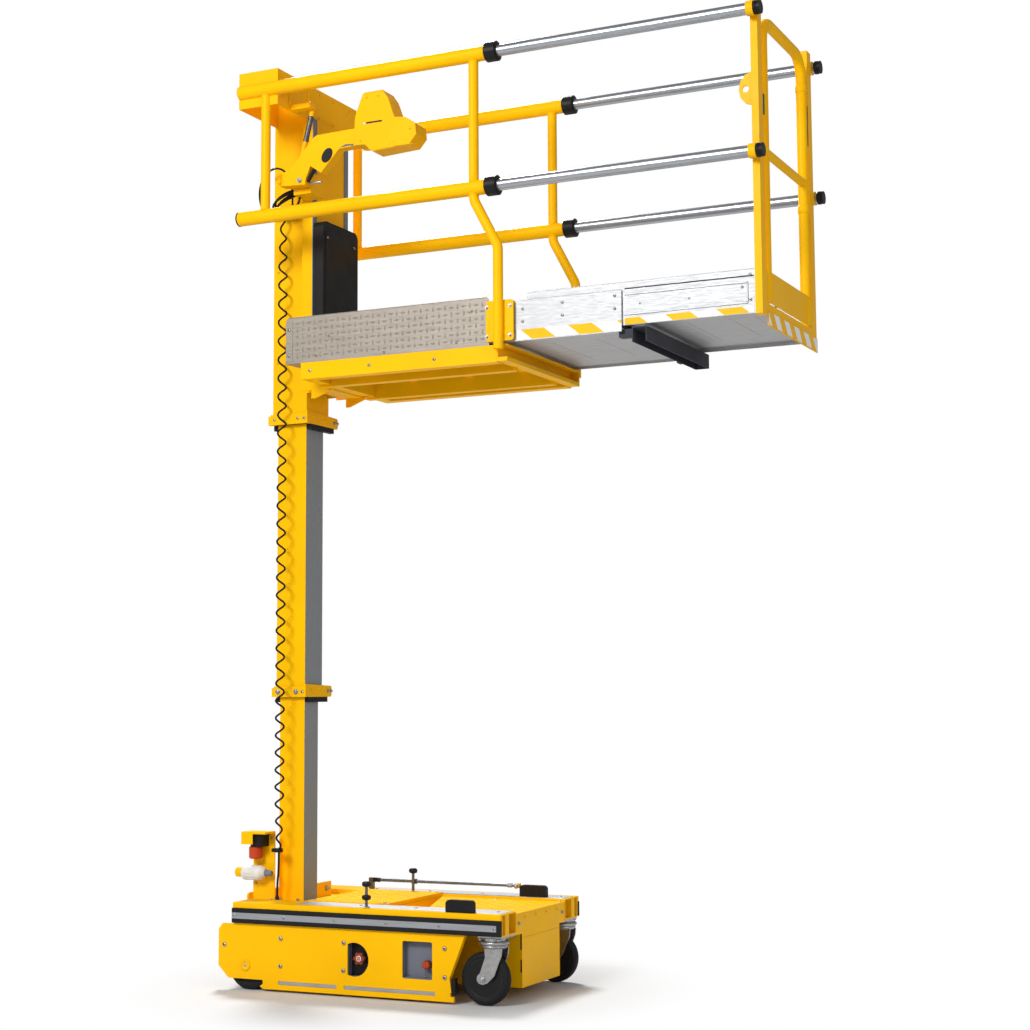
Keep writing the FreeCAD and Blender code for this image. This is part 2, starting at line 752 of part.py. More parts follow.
node("side_plates", group("SkirtPair", near_plate, far_plate))


def pan(name, x, z):
    """Shallow tray behind an opening of the side plate, open towards it."""
    wall = S.pan_wall
    deep = skirt_y[1] + S.pan_depth
    outer_x = (x[0] - wall - 5, x[1] + wall + 5)
    outer = box(name + "Outer", outer_x, (skirt_y[1], deep), (z[0] - wall, z[1] + wall))
    inner = box(name + "Inner", (x[0] - 5, x[1] + 5), (skirt_y[1] - 1, deep - wall), z)
    return cut(name, outer, inner)


def star(name, x, z, low, high):
    """Knob with six lobes."""
    lobes = []
    for i in range(12):
        reach = S.knob_radius if i % 2 == 0 else S.knob_radius * 0.74
        angle = i * math.pi / 6
        lobes.append((size(x) + reach * math.cos(angle), size(z) + reach * math.sin(angle)))
    return prism(name, "xz", lobes, low, high)


pan_back = skirt_y[1] + S.pan_depth - S.pan_wall
round_pan = pan("RoundPan", recess_x, recess_z)
square_pan = pan("SquarePan", window_x, window_z)
knob_front = skirt_y[1] + 6
knob_x = S.recess_x + 18
knob_z = S.recess_z + 4
star_knob = star("StarKnob", knob_x, knob_z, knob_front, knob_front + 12)
stem_length = pan_back - knob_front - 10
star_stem = rod("StarStem", "y", (knob_x, knob_front + 11, knob_z), stem_length, 9)
switch_z = window_z[0] + 55
switch = rod("Switch", "y", (window_x[1] - 31, knob_front, switch_z), pan_back - knob_front + 1, 14)
lip = box("WindowLip", window_x, (skirt_y[1], pan_back + 1), (window_z[0] - 1, window_z[0] + 4))
panel = group(
    "Panels",
    fuse("RoundPanel", round_pan, star_knob, star_stem),
    fuse("SquarePanel", square_pan, switch, lip),
)
node("service_panel", panel)

# Battery box and its heavy block
box_half = S.box_width / 2
battery_top = tray_top - S.longeron_wall
case = box("Case", (S.box_rear, box_front), (-box_half, box_half), (S.box_bottom, battery_top))
apron = box("Apron", (box_front - S.box_wall, box_front), across, (battery_top - S.apron_height, battery_top))
case_inside = box(
    "CaseInside",
    (S.box_rear + S.box_wall, box_front - S.box_wall),
    (-box_half + S.box_wall, box_half - S.box_wall),
    (S.box_bottom + S.box_wall, battery_top - S.box_wall),
)
node("battery_box", fuse("BatteryCase", cut("BatteryShell", case, case_inside), apron))
battery = box(
    "Battery",
    (S.box_rear + 25, box_front - 25),
    (-box_half + 20, box_half - 20),
    (S.box_bottom + S.box_wall, S.box_bottom + 225),
)
node("battery_block", battery)

# Drive units under the rear of the side members
drive_x = base_rear + S.drive_inset
wheel_outer = side_outer - S.wheel_clear
wheel_inner = wheel_outer - S.drive_width
hanger_y = wheel_inner - 10
drive_z = S.drive_dia / 2
hanger = box(
    "MotorPlate",
    (drive_x - 60, drive_x + 70),
    (-hanger_y, -hanger_y + S.motor_plate),
    (drive_z - 65, S.longeron_bottom),
)
motor_start = (drive_x, -hanger_y + S.motor_plate - 1, drive_z)
motor = rod("Motor", "y", motor_start, S.motor_length, S.motor_dia / 2)
shaft_length = wheel_inner - hanger_y - S.seat_clear
shaft = rod("Shaft", "y", (drive_x, -wheel_inner + S.seat_clear, drive_z), shaft_length + 1, S.hub_dia / 2)
node("drive_units", both("DriveUnitPair", fuse("DriveUnit", hanger, motor, shaft)))
tyre_half = S.drive_width / 2
drive_profile = [
    (0, -tyre_half),
    (drive_z - 5, -tyre_half),
    (drive_z, -tyre_half + 6),
    (drive_z, tyre_half - 6),
    (drive_z - 5, tyre_half),
    (0, tyre_half),
]
for label, sign in (("drive_wheel_near", -1), ("drive_wheel_far", 1)):
    centre = (drive_x, (wheel_outer - tyre_half) * sign, drive_z)
    node(label, turned(label + "_body", "y", centre, drive_profile))

# Casters: plate and race on the side member, ring, fork and wheel turn on the race
caster_x = base_front - S.caster_inset
head_z = S.longeron_bottom - S.caster_head_thick
race_z = head_z - S.caster_race_height
head = box(
    "CasterHead",
    (caster_x - 55, base_front - 2),
    (-side_outer + 4, -side_inner - 2),
    (head_z, S.longeron_bottom),
)
race = rod("CasterRace", "z", (caster_x, -S.caster_y, race_z), S.caster_race_height + 1, 44)
node("caster_plates", both("CasterPlatePair", fuse("CasterPlate", head, race)))
caster_half = S.caster_width / 2
fork_half = caster_half + S.fork_gap
caster_r = S.caster_dia / 2
axle_x = caster_x - S.caster_trail
crown_z = race_z - S.seat_clear
ring_r = S.caster_head / 2
neck_z = crown_z - S.caster_ring

# cheek's corners: behind or ahead of the swivel axis, and below the neck or above the axle
CHEEK_TOP = ((-28, 1), (-26, -36))
CHEEK_LOW = ((-48, 23), (-60, 10), (-62, -4), (-54, -16), (-37, -21), (-16, -14), (14, 15), (32, 62))
CHEEK_FRONT = ((43, -28), (46, 1))


def caster_fork(name, y):
    """Swivel ring with a rounded rim, and two tapering cheeks down to the axle."""
    rim = [
        (0, 0),
        (ring_r - 5, 0),
        (ring_r, -6),
        (ring_r - 7, -15),
        (ring_r - 11, -S.caster_ring),
        (0, -S.caster_ring),
    ]
    ring = turned(name + "Ring", "z", (caster_x, y, crown_z), rim)
    corners = [(caster_x + u, neck_z + v) for u, v in CHEEK_TOP]
    corners += [(caster_x + u, caster_r + v) for u, v in CHEEK_LOW]
    corners += [(caster_x + u, neck_z + v) for u, v in CHEEK_FRONT]
    cheeks = []
    for side_name, inner in (("A", y + fork_half), ("B", y - fork_half - S.fork_sheet)):
        cheeks.append(prism(name + "Cheek" + side_name, "xz", corners, inner, inner + S.fork_sheet))
    nuts = []
    hexagon = []
    for i in range(6):
        angle = i * math.pi / 3
        u = axle_x + S.axle_dia / 2 * math.cos(angle)
        hexagon.append((u, caster_r + S.axle_dia / 2 * math.sin(angle)))
    inner = caster_half - 3 + S.seat_clear * 2
    outer = fork_half + S.fork_sheet + 5
    nuts.append(prism(name + "NutA", "xz", hexagon, y + inner, y + outer))
    nuts.append(prism(name + "NutB", "xz", hexagon, y - outer, y - inner))
    return fuse(name + "Fork", ring, *cheeks, *nuts)


caster_profile = [
    (0, -caster_half + 3),
    (caster_r - 12, -caster_half),
    (caster_r, -caster_half + 12),
    (caster_r, caster_half - 12),
    (caster_r - 12, caster_half),
    (0, caster_half - 3),
]
for place, y in (("near", -S.caster_y), ("far", S.caster_y)):
    node("caster_fork_" + place, caster_fork("Caster" + place.title(), y))
    wheel = turned(f"caster_wheel_{place}_body", "y", (axle_x, y, caster_r), caster_profile)
    node("caster_wheel_" + place, wheel)

# Heights of the platform, all from its deck
deck_z = S.deck_z
top_rail_z = deck_z + S.rail_high
mid_rail_z = top_rail_z - S.rail_step
head_top = top_rail_z + S.head_over
head_bottom = head_top - S.head_height
up_bottom = deck_z - S.up_drop
up_top = top_rail_z + S.up_top
mid_top = up_bottom + S.mid_overlap
low_top = S.mid_bottom + S.low_overlap

# Mast: three square sections, the smallest fixed on the base


def section(name, length, width, z):
    x = (ahead(-length / 2), ahead(length / 2))
    return shell(name, x, (-width / 2, width / 2), z, S.mast_wall)


def moving_section(name, length, width, bottom, top):
    """Section with a bolted collar at its foot, whose front plate runs on past the far side."""
    grow = S.collar_grow
    front = ahead(length / 2 + grow)
    rear = ahead(-length / 2 - grow)
    near = -width / 2 - grow
    far = width / 2 + grow
    ring = box(name + "Ring", (rear, front), (near, far), (bottom, bottom + S.collar_height))
    plate_corners = [
        (near, bottom),
        (width / 2 + S.collar_arm, bottom),
        (width / 2 + S.collar_arm, bottom + S.collar_front - 8),
        (near, bottom + S.collar_front),
    ]
    plate = prism(name + "Plate", "yz", plate_corners, ahead(length / 2 - 1), front, rounds=((1, 2), 10))
    lug_box = (near, near + 24)
    lug = box(name + "Lug", (rear - S.collar_lug, rear + 1), lug_box, (bottom, bottom + S.collar_height - 6))
    hollow = box(
        name + "Hollow",
        (ahead(-length / 2 + S.mast_wall), ahead(length / 2 - S.mast_wall)),
        (-width / 2 + S.mast_wall, width / 2 - S.mast_wall),
        (bottom - 1, bottom + S.collar_front + 1),
    )
    collar = cut(name + "Collar", fuse(name + "CollarRaw", ring, plate, lug), hollow)
    return fuse(name + "Welded", section(name, length, width, (bottom, top)), collar)


def slide_ring(name, length, width, inner_length, inner_width, bottom):
    """Plastic ring inside the section's foot, with blocks under the collar front and rear."""
    clear = S.seat_clear
    wall = S.mast_wall
    lining = box(
        name + "Lining",
        (ahead(-length / 2 + wall), ahead(length / 2 - wall)),
        (-width / 2 + wall, width / 2 - wall),
        (bottom, bottom + S.slider_inside),
    )
    low = bottom - S.slider_height
    front = box(
        name + "Front",
        (ahead(inner_length / 2 + clear), ahead(length / 2 + S.collar_grow)),
        (-inner_width / 2, width / 2 + S.collar_arm / 2),
        (low, bottom),
    )
    rear = box(
        name + "Rear",
        (ahead(-length / 2 - S.collar_grow), ahead(-inner_length / 2 - clear)),
        (-inner_width / 2, inner_width / 2),
        (low, bottom),
    )
    way = box(
        name + "Way",
        (ahead(-inner_length / 2 - clear), ahead(inner_length / 2 + clear)),
        (-inner_width / 2 - clear, inner_width / 2 + clear),
        (low - 1, bottom + S.slider_inside + 1),
    )
    return cut(name, fuse(name + "Blocks", lining, front, rear), way)


node("mast_lower", section("MastLow", S.low_length, S.low_width, (foot_top, low_top)))
node("mast_middle", moving_section("MastMid", S.mid_length, S.mid_width, S.mid_bottom, mid_top))
node("mast_upper", moving_section("MastUp", S.up_length, S.up_width, up_bottom, up_top))
ring_mid = slide_ring("RingMid", S.mid_length, S.mid_width, S.low_length, S.low_width, S.mid_bottom)
ring_up = slide_ring("RingUp", S.up_length, S.up_width, S.mid_length, S.mid_width, up_bottom)
node("slide_ring_middle", ring_mid)
node("slide_ring_upper", ring_up)

# Carriage on the upper section, with its grey strips and black cover
carriage_half = S.carriage_width / 2
sheet_t = S.carriage_sheet
carriage_z = (deck_z - S.carriage_drop, head_bottom)
front_x = ahead(S.carriage_front)
back_x = front_x - sheet_t
carriage_parts = [box("CarriagePlate", (back_x, front_x), (-carriage_half, carriage_half), carriage_z)]
web_x = (ahead(S.up_length / 2), back_x + 1)
for i, y in enumerate((-S.up_width / 2, S.up_width / 2 - sheet_t)):
    carriage_parts.append(box(f"CarriageWeb{i}", web_x, (y, y + sheet_t), carriage_z))
for i, y in enumerate((-carriage_half, carriage_half - sheet_t)):
    carriage_parts.append(
        box(f"CarriageFlange{i}", (front_x - S.carriage_depth, back_x + 1), (y, y + sheet_t), carriage_z)
    )
node("carriage", fuse("CarriageWelded", *carriage_parts))
cover_z = (deck_z + S.cover_low, deck_z + S.cover_low + S.cover_height)
strip_x = (front_x, front_x + S.strip_thick)
strip = box("Strip", strip_x, (-carriage_half, -carriage_half + S.strip_width), (cover_z[0], head_bottom))
node("slide_strips", both("StripPair", strip))
cover_corners = [
    (-carriage_half, cover_z[0]),
    (carriage_half, cover_z[0]),
    (carriage_half, cover_z[1]),
    (-carriage_half, cover_z[1]),
]
cover = prism("Cover", "yz", cover_corners, strip_x[1], strip_x[1] + S.cover_depth, rounds=((2, 3), 30))
node("mast_cover", cover)

# Mast head: cross plate that carries the rails, its spacer on the mast and its near end plate
head_x = (ahead(S.head_front - S.head_thick), ahead(S.head_front))
head_near = -S.rail_y - S.rail_dia / 2 - sheet_t
head_z_pair = (head_bottom, head_top)
cross_corners = [
    (head_near, head_bottom),
    (S.head_far, head_bottom),
    (S.head_far, head_top),
    (head_near, head_top),
]
cross_plate = prism("CrossPlate", "yz", cross_corners, *head_x, rounds=((1, 2), 20))
end_plate = box(
    "EndPlate", (ahead(-S.head_tail), head_x[1]), (head_near, head_near + sheet_t), head_z_pair
)
spacer = box(
    "HeadSpacer",
    (ahead(S.up_length / 2), head_x[0] + 1),
    (-S.up_width / 2, S.up_width / 2),
    (head_bottom, up_top - 10),
)
far_arm = box(
    "FarArm",
    (head_x[0] - 8, head_x[1]),
    (S.head_far - 12, S.rail_y - S.rail_dia / 2 + 2),
    (top_rail_z - 20, top_rail_z + 20),
)
strut_shelf = box(
    "StrutShelf",
    (head_x[1] - 1, ahead(S.arm_x + 36)),
    (S.arm_y - 5, S.arm_y + 40),
    (head_bottom, head_bottom + 24),
)
rail_holes = [
    rod(
        f"HeadRailHole{i}",
        "x",
        (head_x[0] - 20, y, top_rail_z),
        S.head_thick + 40,
        S.rail_dia / 2 + S.seat_clear,
    )
    for i, y in enumerate((-S.rail_y, S.rail_y))
]
head_raw = fuse("HeadRaw", cross_plate, spacer, far_arm, strut_shelf)
node("mast_head", fuse("MastHead", cut("HeadCut", head_raw, *rail_holes), end_plate))

# Guard rails: four tubes, the posts between them and the bent front posts
rail_r = S.rail_dia / 2
near_y = -S.rail_y
near_rear = ahead(-S.rail_rear)
far_rear = ahead(S.rear_post - S.post_dia / 2)
rail_end = ahead(S.rail_front)
# name, side, height, rear end
RAILS = (
    ("TopNear", near_y, top_rail_z, near_rear),
    ("MidNear", near_y, mid_rail_z, near_rear),
    ("TopFar", S.rail_y, top_rail_z, far_rear),
    ("MidFar", S.rail_y, mid_rail_z, far_rear),
)
rails = [rod("Rail" + name, "x", (rear, y, z), rail_end - rear, rail_r) for name, y, z, rear in RAILS]
bores = [
    rod("Bore" + name, "x", (rear + 5, y, z), rail_end - rear, rail_r - S.rail_wall)
    for name, y, z, rear in RAILS
]
posts = []
plate_half = S.post_plate_length / 2
post_low = deck_z - 24
for place, y, low in (("Near", near_y, -S.board_y - S.post_plate_thick), ("Far", S.rail_y, S.board_y)):
    posts.append(
        rod(
            f"RearPost{place}",
            "z",
            (ahead(S.rear_post), y, mid_rail_z + rail_r - 4),
            top_rail_z - mid_rail_z - S.rail_dia + 8,
            S.post_dia / 2,
        )
    )
    posts.append(
        bent_tube(
            f"FrontPost{place}",
            [
                (ahead(S.front_post), y, top_rail_z - rail_r + 4),
                (ahead(S.front_post), y, mid_rail_z - S.post_bend_top),
                (ahead(S.post_foot), y, mid_rail_z - S.post_bend_low),
                (ahead(S.post_foot), y, post_low),
            ],
            S.post_dia / 2,
            60,
        )
    )
    foot_corners = [
        (ahead(S.post_foot - plate_half), deck_z + 9),
        (ahead(S.post_foot + plate_half), deck_z + 9),
        (ahead(S.post_foot + plate_half), deck_z + 9 + S.post_plate_height),
        (ahead(S.post_foot - plate_half), deck_z + 9 + S.post_plate_height),
    ]
    high = low + S.post_plate_thick
    posts.append(prism("PostPlate" + place, "xz", foot_corners, low, high, rounds=((0, 1, 2, 3), 12)))
node("guard_rails", cut("Rails", fuse("RailsRaw", *rails, *posts), *bores))
sleeve_wall = S.sleeve_dia / 2 - S.tube_dia / 2 - S.tube_clear
sleeves = [
    tube("Sleeve" + name, "x", (rail_end, y, z), S.sleeve_length, S.sleeve_dia / 2, sleeve_wall)
    for name, y, z, rear in RAILS
]
node("rail_sleeves", group("Sleeves", *sleeves))

# Fixed deck on its underframe
deck_x = (ahead(S.deck_rear), ahead(S.deck_front))
floor_bottom = deck_z - S.floor_thick
board_y = S.board_y
floor = box("FixedFloor", deck_x, (-board_y, board_y), (floor_bottom, deck_z))
board_corners = [
    (deck_x[0], floor_bottom + S.lip_height),
    (ahead(S.lip_start), floor_bottom + S.lip_height),
    (ahead(S.lip_start), floor_bottom),
    (deck_x[1], floor_bottom),
    (deck_x[1], deck_z + S.board_top),
    (deck_x[0], deck_z + S.board_top),
]
board = prism("Board", "xz", board_corners, -board_y, -board_y + S.board_thick, rounds=((4, 5), 15))
board_band = box(
    "BoardBand",
    (deck_x[0], deck_x[0] + 32),
    (-board_y - 2, -board_y + 1),
    (floor_bottom + S.lip_height, deck_z + S.board_top - 16),
)
walls = fuse("BoardNear", board, board_band)
inner_floor = box("FloorEdge", deck_x, (-board_y, -board_y + 6), (floor_bottom, deck_z + S.lip_height))
deck_parts = [floor, walls, inner_floor, mirror("BoardFar", walls), mirror("FloorEdgeFar", inner_floor)]
node("fixed_deck", fuse("FixedDeck", *deck_parts))

beam_z = (floor_bottom - S.beam_height, floor_bottom)
beam_x = (ahead(S.beam_start), ahead(S.channel_rear + 1))
side_beam = box("SideBeam", beam_x, (-board_y, -board_y + S.beam_width), beam_z)
inner_beam = box("InnerBeam", beam_x, (-210, -170), (beam_z[0] - 10, floor_bottom))
cross_beam = box("CrossBeam", (beam_x[0], beam_x[0] + S.beam_width), (-board_y, board_y), beam_z)
channel_x = (ahead(S.channel_rear), ahead(S.channel_rear + S.channel_depth))
channel_top = deck_z + 6
channel_z = (channel_top - S.channel_height, channel_top)
channel_y = (-board_y + 1.3, board_y - 14)
channel_block = box("ChannelBlock", channel_x, channel_y, channel_z)
channel_groove = box(
    "ChannelGroove",
    (channel_x[0] + S.channel_wall, channel_x[1] + 1),
    (channel_y[0] - 1, channel_y[1] - S.channel_wall),
    (channel_z[0] + 16, channel_z[1] - 16),
)
channel_seat = box(
    "ChannelSeat",
    (channel_x[0] - 1, channel_x[1] + 1),
    (-board_y - 9, board_y + 9),
    (floor_bottom, channel_top + 1),
)
channel = cut("Channel", channel_block, channel_groove, channel_seat)
mount_z = (carriage_z[0], floor_bottom)
mount = box("Mount", (front_x, beam_x[0] + 1), (-carriage_half, carriage_half), mount_z)
gusset_corners = [
    (front_x, carriage_z[0] + 1),
    (front_x, carriage_z[0] - 36),
    (front_x + 20, carriage_z[0] - 36),
    (beam_x[0] + S.beam_width, beam_z[0] + 1),
]
gusset = prism("Gusset", "xz", gusset_corners, -carriage_half, -carriage_half + sheet_t)
frame_parts = [side_beam, inner_beam, cross_beam, channel, mount, gusset]
frame_parts += [mirror(f"Under{i}", part) for i, part in enumerate((side_beam, inner_beam, gusset))]
node("underframe", fuse("Underframe", *frame_parts))

# Middle stage, with the dark cross channel that runs ahead under the end stage
mid_y = board_y - S.board_thick - S.stage_gap
mid_x = (ahead(S.mid_deck_rear), ahead(S.mid_deck_front))
mid_floor_z = (deck_z + S.mid_floor_lift, deck_z + S.mid_floor_lift + S.floor_thick)
mid_floor = box("MidFloor", mid_x, (-mid_y, mid_y), mid_floor_z)
mid_board = box(
    "MidBoard", mid_x, (-mid_y, -mid_y + S.board_thick), (deck_z + S.stage_lift, deck_z + S.mid_board_top)
)
node("middle_deck", fuse("MidDeck", mid_floor, mid_board, mirror("MidBoardFar", mid_board)))
pad_y = (mid_y - 60, mid_y - 20)
both_sides = ((-pad_y[1], -pad_y[0]), pad_y)
slides = [
    box(f"DeckPad{i}", (deck_x[1] - 90, deck_x[1]), y, (deck_z, mid_floor_z[0] - S.seat_clear))
    for i, y in enumerate(both_sides)
]
node("deck_slides", group("DeckPads", *slides))
end_floor_z = (deck_z + S.end_floor_lift, deck_z + S.end_floor_lift + S.floor_thick)
mid_slides = [
    box(f"MidPad{i}", (mid_x[1] - 90, mid_x[1]), y, (mid_floor_z[1], end_floor_z[0] - S.seat_clear))
    for i, y in enumerate(both_sides)
]
ahead_x = (mid_x[1] + S.mid_channel_ahead, mid_x[1] + S.mid_channel_ahead + S.mid_channel_depth)
dark_z = (mid_floor_z[0] - 55, mid_floor_z[0] + 3)
dark_block = box("DarkBlock", ahead_x, (-mid_y, mid_y - 5), dark_z)
dark_groove = box(
    "DarkGroove",
    (ahead_x[0] + 4, ahead_x[1] - 4),
    (-mid_y - 1, mid_y - 9),
    (dark_z[0] - 1, dark_z[1] - 5),
)
dark_channel = cut("DarkChannel", dark_block, dark_groove)
arms = [
    box(f"DarkArm{i}", (mid_x[1] - 20, ahead_x[0] + 1), y, (mid_floor_z[0] - 30, mid_floor_z[0]))
    for i, y in enumerate(both_sides)
]
node("middle_slides", group("MidPads", *mid_slides, fuse("DarkFrame", dark_channel, *arms)))

# End stage with its sliding rail tubes
end_y = mid_y - S.board_thick - S.stage_gap
gate_x = ahead(S.gate_x)
end_x = (ahead(S.end_deck_rear), gate_x)
end_floor = box("EndFloor", end_x, (-end_y, end_y), end_floor_z)
end_top = deck_z + S.end_board_top
end_board = box("EndBoard", end_x, (-end_y, -end_y + S.board_thick), (deck_z + S.end_board_low, end_top))
end_lip = box("EndLip", end_x, (-end_y, -end_y + 14), (end_top - 5, end_top))
end_wall = fuse("EndWall", end_board, end_lip)
node("end_deck", fuse("EndDeck", end_floor, end_wall, mirror("EndWallFar", end_wall)))
slide_tubes = []
caps = []
for name, y, z, rear in RAILS:
    further = S.far_cap_out if name.endswith("Far") else 0
    start = ahead(S.tube_rear)
    length = S.tube_front + further - S.tube_rear
    slide_tubes.append(tube("Slide" + name, "x", (start, y, z), length, S.tube_dia / 2, S.tube_wall))
    caps.append(rod("Cap" + name, "x", (ahead(S.tube_front + further), y, z), S.cap_length, S.cap_dia / 2))
node("sliding_rails", group("SlideTubes", *slide_tubes))
node("rail_caps", group("Caps", *caps))

# Gate frame: posts inside the rails, held to the tubes by rings, and the sill between them
post_x = (gate_x, gate_x + S.gate_post)
post_y = (S.gate_post_y - S.gate_post_wide, S.gate_post_y)
post_top = top_rail_z + S.post_over
sill_z = (deck_z + S.sill_low, deck_z + S.sill_low + S.sill_height)
gate_low = deck_z + S.gate_low
gate_r = S.gate_tube / 2
near_side = []
near_side.append(box("GatePost", post_x, (-post_y[1], -post_y[0]), (sill_z[0], post_top)))
wing_y = (-post_y[0] - 1, -S.gate_y - gate_r - 5)
near_side.append(box("PostWing", (post_x[1] - 4, post_x[1]), wing_y, (sill_z[0], gate_low + 110)))
for i, z in enumerate((top_rail_z, mid_rail_z)):
    saddle = (gate_x, -S.rail_y, z)
    near_side.append(tube(f"Saddle{i}", "x", saddle, S.gate_post, S.tube_dia / 2 + 5, size(4.7)))
    near_side.append(
        box(f"SaddleLug{i}", post_x, (-S.rail_y + S.tube_dia / 2 + 1, -post_y[1] + 1), (z - 10, z + 10))
    )
near_frame = fuse("GateSide", *near_side)
sill = box("GateSill", (post_x[1] - 4, post_x[1]), (-post_y[1], post_y[1]), sill_z)
flap = box(
    "GateFlap",
    (post_x[1] - 1, post_x[1] + 3),
    (-post_y[0] + 10, post_y[1]),
    (deck_z - S.flap_low, deck_z - S.flap_low + S.flap_height),
)
hinge_lug = box(
    "GateLug",
    post_x,
    (S.gate_y - gate_r, post_y[0] + 1),
    (sill_z[1] - 12, gate_low - S.seat_clear),
)
anchor_z = mid_rail_z + S.anchor_up
anchor_corners = [(gate_x + 1, anchor_z - S.anchor_radius)]
for i in range(1, 6):
    angle = -math.pi / 2 - i * math.pi / 6
    reach = S.anchor_radius
    anchor_corners.append((gate_x + reach * 0.8 * math.cos(angle), anchor_z + reach * math.sin(angle)))
anchor_corners.append((gate_x + 1, anchor_z + S.anchor_radius))
anchor_y = -post_y[1] + 5
anchor_eye = (gate_x - 24, anchor_z, 13)
anchor = prism("Anchor", "xz", anchor_corners, anchor_y, anchor_y + 8, holes=[anchor_eye])
gate_frame = fuse("GateFrame", near_frame, mirror("GateSideFar", near_frame), sill, flap, hinge_lug, anchor)
node("gate_frame", gate_frame)

# Gate: hoop, middle bar and kick plate between the posts; it turns about its far leg
gate_mid_x = gate_x + S.gate_post / 2
hoop_top = top_rail_z + S.gate_over - gate_r
hoop = bent_tube(
    "Hoop",
    [
        (gate_mid_x, -S.gate_y, gate_low),
        (gate_mid_x, -S.gate_y, hoop_top),
        (gate_mid_x, S.gate_y, hoop_top),
        (gate_mid_x, S.gate_y, gate_low),
    ],
    gate_r,
    S.hoop_bend.number,
)
bar_start = (gate_mid_x, -S.gate_y, mid_rail_z + S.gate_bar_up)
gate_bar = rod("GateBar", "y", bar_start, S.gate_y * 2, gate_r * 0.8)
kick_half = S.gate_y + gate_r - 2
kick_corners = [
    (-kick_half, gate_low),
    (kick_half, gate_low),
    (kick_half, gate_low + S.kick_height),
    (-kick_half, gate_low + S.kick_height),
]
kick = prism("Kick", "yz", kick_corners, post_x[1] - 6, post_x[1] - 2, rounds=((2, 3), 20))
node("gate", fuse("Gate", hoop, gate_bar, kick))

# Control arm with its console, its bracket on the carriage and the gas strut
arm_x = ahead(S.arm_x)
arm_z = mid_rail_z + S.arm_up
arm_half = S.arm_thick / 2
arm_y = (S.arm_y - arm_half, S.arm_y + arm_half)
bracket = box(
    "ArmBracket", (arm_x - 60, arm_x + 25), (arm_y[1] + 3, -carriage_half), (arm_z - 45, arm_z + 45)
)
pivot = rod("ArmPivot", "y", (arm_x, arm_y[0] - 4, arm_z), arm_y[1] - arm_y[0] + 12, size(9))
strut_y = arm_y[1] + 14
strut_ends = [(arm_x - 44, strut_y, arm_z + 44), (arm_x + 24, strut_y, head_bottom - 4)]
strut = bent_tube("GasStrut", strut_ends, S.strut_dia / 2)
node("arm_bracket", fuse("ArmBracketAll", bracket, pivot, strut))
# corners from the arm's pivot
ARM = (
    (-96, -15), (-96, 20), (-89, 40), (-52, 53), (11, 118), (65, 175), (84, 185), (272, 189),
    (272, 115), (192, 112), (104, 20), (52, 56), (29, 4), (27, -21),
)
CONSOLE = (
    (272, 115), (320, 111), (355, 79), (530, 87), (563, 124), (558, 171), (512, 203), (461, 210),
    (430, 296), (404, 334), (321, 333), (310, 328), (279, 252), (272, 219),
)
arm_points = [(arm_x + u, arm_z + v) for u, v in ARM]
arm = prism("Arm", "xz", arm_points, *arm_y, holes=[(arm_x, arm_z, 9.3)])
node("control_arm", arm)
console_points = [(arm_x + u, arm_z + v) for u, v in CONSOLE]
console_y = (S.console_near, S.console_near + S.console_width)
node("control_console", prism("Console", "xz", console_points, *console_y))

# Fittings on the plate at the foot of the mast
plate_x = (ahead(-S.plate_rear), ahead(-S.plate_front))
plate_y = (S.plate_y - 4, S.plate_y)
visor_y = (S.plate_y - S.visor_depth, S.plate_y)
visor_rear = plate_x[0] - 12
plate_corners = [
    (plate_x[0], S.tail_top),
    (base_rear - 0.5, S.tail_top),
    (base_rear - 0.5, foot_top),
    (plate_x[1], foot_top),
    (plate_x[1], S.plate_top),
    (plate_x[0], S.plate_top),
]
clip_x = ahead(S.coil_x)
clip_z = (S.coil_low - S.clip_height, S.coil_low)
flap_y = (visor_y[0], visor_y[0] + 3)
fitting_parts = [
    prism("FittingPlate", "xz", plate_corners, *plate_y),
    box("Visor", (visor_rear, plate_x[1]), visor_y, (S.plate_top - 1, S.plate_top + 8)),
    box("VisorFlap", (visor_rear, plate_x[0] + 44), flap_y, (S.plate_top - 44, S.plate_top)),
]
node("fitting_plate", fuse("FittingPlateAll", *fitting_parts))
beacon_r = S.beacon_dia / 2
beacon_x = ahead(-S.plate_rear + 31)
beacon_y = plate_y[0] - beacon_r
beacon_length = S.beacon_high - S.beacon_low
node("beacon", rod("Beacon", "z", (beacon_x, beacon_y, S.beacon_low), beacon_length, beacon_r))
sounder = box(
    "Sounder", (beacon_x - 8, beacon_x + 46), (plate_y[0] - 58, plate_y[0]), (S.beacon_high, S.plate_top - 1)
)
node("sounder", sounder)
plug_r = S.plug_dia / 2
plug_y = plate_y[0] - plug_r
plug_x = ahead(-S.plug_rear)
plug = fuse(
    "Plug",
    rod("PlugEnd", "x", (plug_x, plug_y, S.plug_z), size(35), size(20)),
    rod("PlugBody", "x", (plug_x + 34, plug_y, S.plug_z), size(108), plug_r),
    rod("PlugGland", "x", (plug_x + 141, plug_y, S.plug_z), size(35), size(14)),
    box("PlugFoot", (plug_x + 74, plug_x + 124), (plug_y + 10, plate_y[0]), (S.plug_z - 22, S.plug_z + 22)),
)
node("power_inlet", plug)

